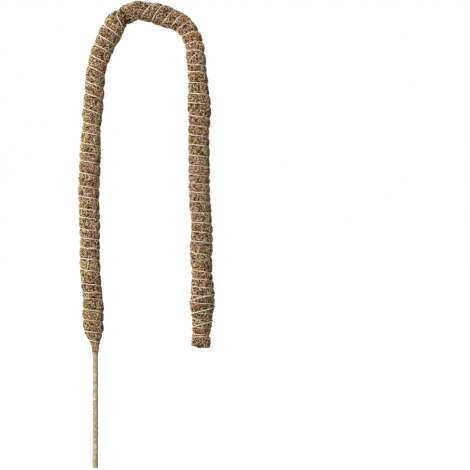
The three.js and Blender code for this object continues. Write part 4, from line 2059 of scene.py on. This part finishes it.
@dataclass
class MossPole:
    """The whole pole: its core, coir and twine, carried stretch by stretch by the frame's bodies."""

    reach: float = 16 * MM
    line: MiddleLine = field(default_factory=lambda: MiddleLine(STRETCHES))
    core: Core = field(init=False)
    coir: CoirSleeve = field(init=False)
    twine: BindingTwine = field(init=False)

    def build(self) -> None:
        """Builds every piece and hands it to the bodies that carry it."""
        shape = CoirShape(self.line, Winding())
        hairs = StrandTree()
        fibre = FibreFinish().make()
        self.core = Core(self.line, hairs, SteelFinish().make(), WrapFinish().make(), fibre)
        self.coir = CoirSleeve(shape, hairs, BristleTree(), MatFinish().make(), fibre)
        self.twine = BindingTwine(shape, TwineTree(), TwineFinish().make())
        for stretch in STRETCHES:
            self.dress(stretch)
        self.finish_ends()

    def carry(self, piece: Piece, stretch: Stretch, slot: Slot, *nodes: str) -> None:
        """Hands a piece to the bodies of its stretch.

        Args:
            piece: The piece.
            stretch: Its stretch, which bends with two bodies or rides on one.
            slot: The material slot meant for it. It is not used.
            nodes: The frame's nodes that it stands for.
        """
        if stretch.bends:
            ends, _, _ = self.line.at(np.array(self.line.spans[stretch.name]))
            chord = ends[1] - ends[0]
            turn = math.radians(sum(run.turn for run in stretch.runs))
            inset = self.reach * math.sin(turn / 2.0) * chord / np.linalg.norm(chord)
            start, end = tuple(ends[0] + inset), tuple(ends[1] - inset)
            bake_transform(piece, stretch.lower, stretch.upper, start=start, end=end)
        else:
            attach(piece, stretch.lower)
        if nodes:
            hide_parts(*nodes)
        LOG.info("%s: %d faces", piece.name, len(piece.data.polygons))

    def dress(self, stretch: Stretch) -> None:
        """Builds the core, coir and twine of one stretch.

        Args:
            stretch: The stretch.
        """
        core, coir, twine = self.core, self.coir, self.twine
        name = stretch.name
        first, last = self.line.spans[name]
        self.carry(core.wire(f"wire_{name}", first, last), stretch, Slot.WIRE, f"core_wire_{name}")
        self.carry(core.wrap(f"tape_{name}", first, last), stretch, Slot.WRAP, f"core_wrap_{name}")
        foot = max(first, STAKE_LENGTH)
        mat = coir.mat(f"coir_mat_{name}", foot, last)
        self.carry(mat, stretch, Slot.COIR, f"coir_sleeve_{name}")
        for label, strands in (("fibres", coir.matted), ("flyaways", coir.flyaway)):
            for piece in coir.fibres(f"coir_{label}_{name}", foot, last, strands):
                self.carry(piece, stretch, Slot.COIR)
        starts, ends = (float(turn) for turn in twine.shape.winding.turn_at(np.array((first, last))))
        starts = twine.first_turn if stretch is STRETCHES[0] else starts
        ends = twine.last_turn if stretch is STRETCHES[-1] else ends
        wound = twine.length_of(f"twine_{name}", starts, ends)
        self.carry(wound, stretch, Slot.TWINE, f"binding_twine_{name}")

    def finish_ends(self) -> None:
        """Adds the knots, the stray strands, the collar's fibres, the cut end and the stake's fuzz."""
        riser, arm = STRETCHES[0], STRETCHES[-1]
        by_name = {stretch.name: stretch for stretch in STRETCHES}
        start = self.twine.knot("tied_start", self.twine.first_turn, -1)
        self.carry(start, riser, Slot.TWINE, "start_knot")
        end = self.twine.knot("tied_end", self.twine.last_turn, 1)
        self.carry(end, arm, Slot.TWINE, "end_knot")
        for stray in STRAYS:
            self.carry(self.twine.stray(stray), by_name[stray.body], Slot.TWINE)
        self.carry(self.coir.collar_fibres("coir_collar_fibres"), riser, Slot.COIR)
        self.carry(self.coir.cut_ends("coir_cut_ends"), arm, Slot.COIR)
        self.carry(self.core.stake_fuzz("stake_fuzz"), riser, Slot.WRAP)


@dataclass
class Studio:
    """A white studio: a large floor, a soft key light from the upper left, fill all round, and the camera.

    The picture is square. The camera stands square to the arch and shows what the picture takes in.
    """

    view_width: float = 664.3 * MM
    view_middle: tuple[float, float] = (197.4 * MM, 329.0 * MM)
    distance: float = 3.0
    sensor: float = 36.0
    floor_size: float = 40.0
    key_place: Vector = (-1.4, -2.1, 1.75)
    key_colour: Vector = (1.0, 0.97, 0.9)
    key_aim: Vector = (0.1, 0.0, 0.35)
    key_size: float = 0.9
    key_power: float = 87.0
    fill: float = 0.26
    fill_sides: float = 0.24
    fill_left: float = 0.15
    fill_back: float = 0.12

    def build(self) -> None:
        """Builds the camera, the lights, the world and the floor."""
        bpy.context.scene.view_settings.view_transform = "Standard"
        self.add_camera()
        self.add_key()
        self.set_world()
        half = 0.5 * self.floor_size
        corners = [(-half, -half, 0.0), (half, -half, 0.0), (half, half, 0.0), (-half, half, 0.0)]
        mesh = bpy.data.meshes.new("floor")
        mesh.from_pydata(corners, [], [(0, 1, 2, 3)])
        placed(mesh, FloorFinish().make())

    def add_camera(self) -> None:
        """Adds the camera, level and square to the arch."""
        data = bpy.data.cameras.new("camera")
        data.sensor_width = self.sensor
        data.lens = self.sensor * self.distance / self.view_width
        camera = bpy.data.objects.new("camera", data)
        camera.location = (self.view_middle[0], -self.distance, self.view_middle[1])
        camera.rotation_euler = (math.pi / 2.0, 0.0, 0.0)
        bpy.context.scene.collection.objects.link(camera)
        bpy.context.scene.camera = camera

    def add_key(self) -> None:
        """Adds the key light."""
        data = bpy.data.lights.new("key", "AREA")
        data.shape = "DISK"
        data.size = self.key_size
        data.energy = self.key_power
        data.color = self.key_colour
        key = bpy.data.objects.new("key", data)
        key.location = self.key_place
        way = [aim - place for aim, place in zip(self.key_aim, self.key_place)]
        level = math.hypot(way[0], way[1])
        key.rotation_euler = (math.atan2(level, -way[2]), 0.0, math.atan2(-way[0], way[1]))
        bpy.context.scene.collection.objects.link(key)

    def set_world(self) -> None:
        """Sets a world that fills the shadows, more from the sides and the back, but looks white."""
        world = bpy.data.worlds.new("studio")
        world.use_nodes = True
        world.node_tree.nodes.clear()
        graph = Graph(world.node_tree)
        side = graph.node("ShaderNodeTexCoord").out("Generated").parts()
        level = self.fill + side * side * self.fill_sides - side * self.fill_left
        level = level + side.out("Y") * self.fill_back
        soft = graph.node("ShaderNodeBackground", {"Strength": level, "Color": WHITE})
        white = graph.node("ShaderNodeBackground", {"Strength": 1.0, "Color": WHITE})
        both = graph.node("ShaderNodeMixShader", {0: seen_directly(graph), 1: soft, 2: white})
        graph.node("ShaderNodeOutputWorld", {"Surface": both})
        bpy.context.scene.world = world


def main() -> None:
    """Builds the studio and the pole."""
    logging.basicConfig(level=logging.INFO, format="%(message)s")
    Studio().build()
    MossPole().build()


if __name__ == "__main__":
    main()
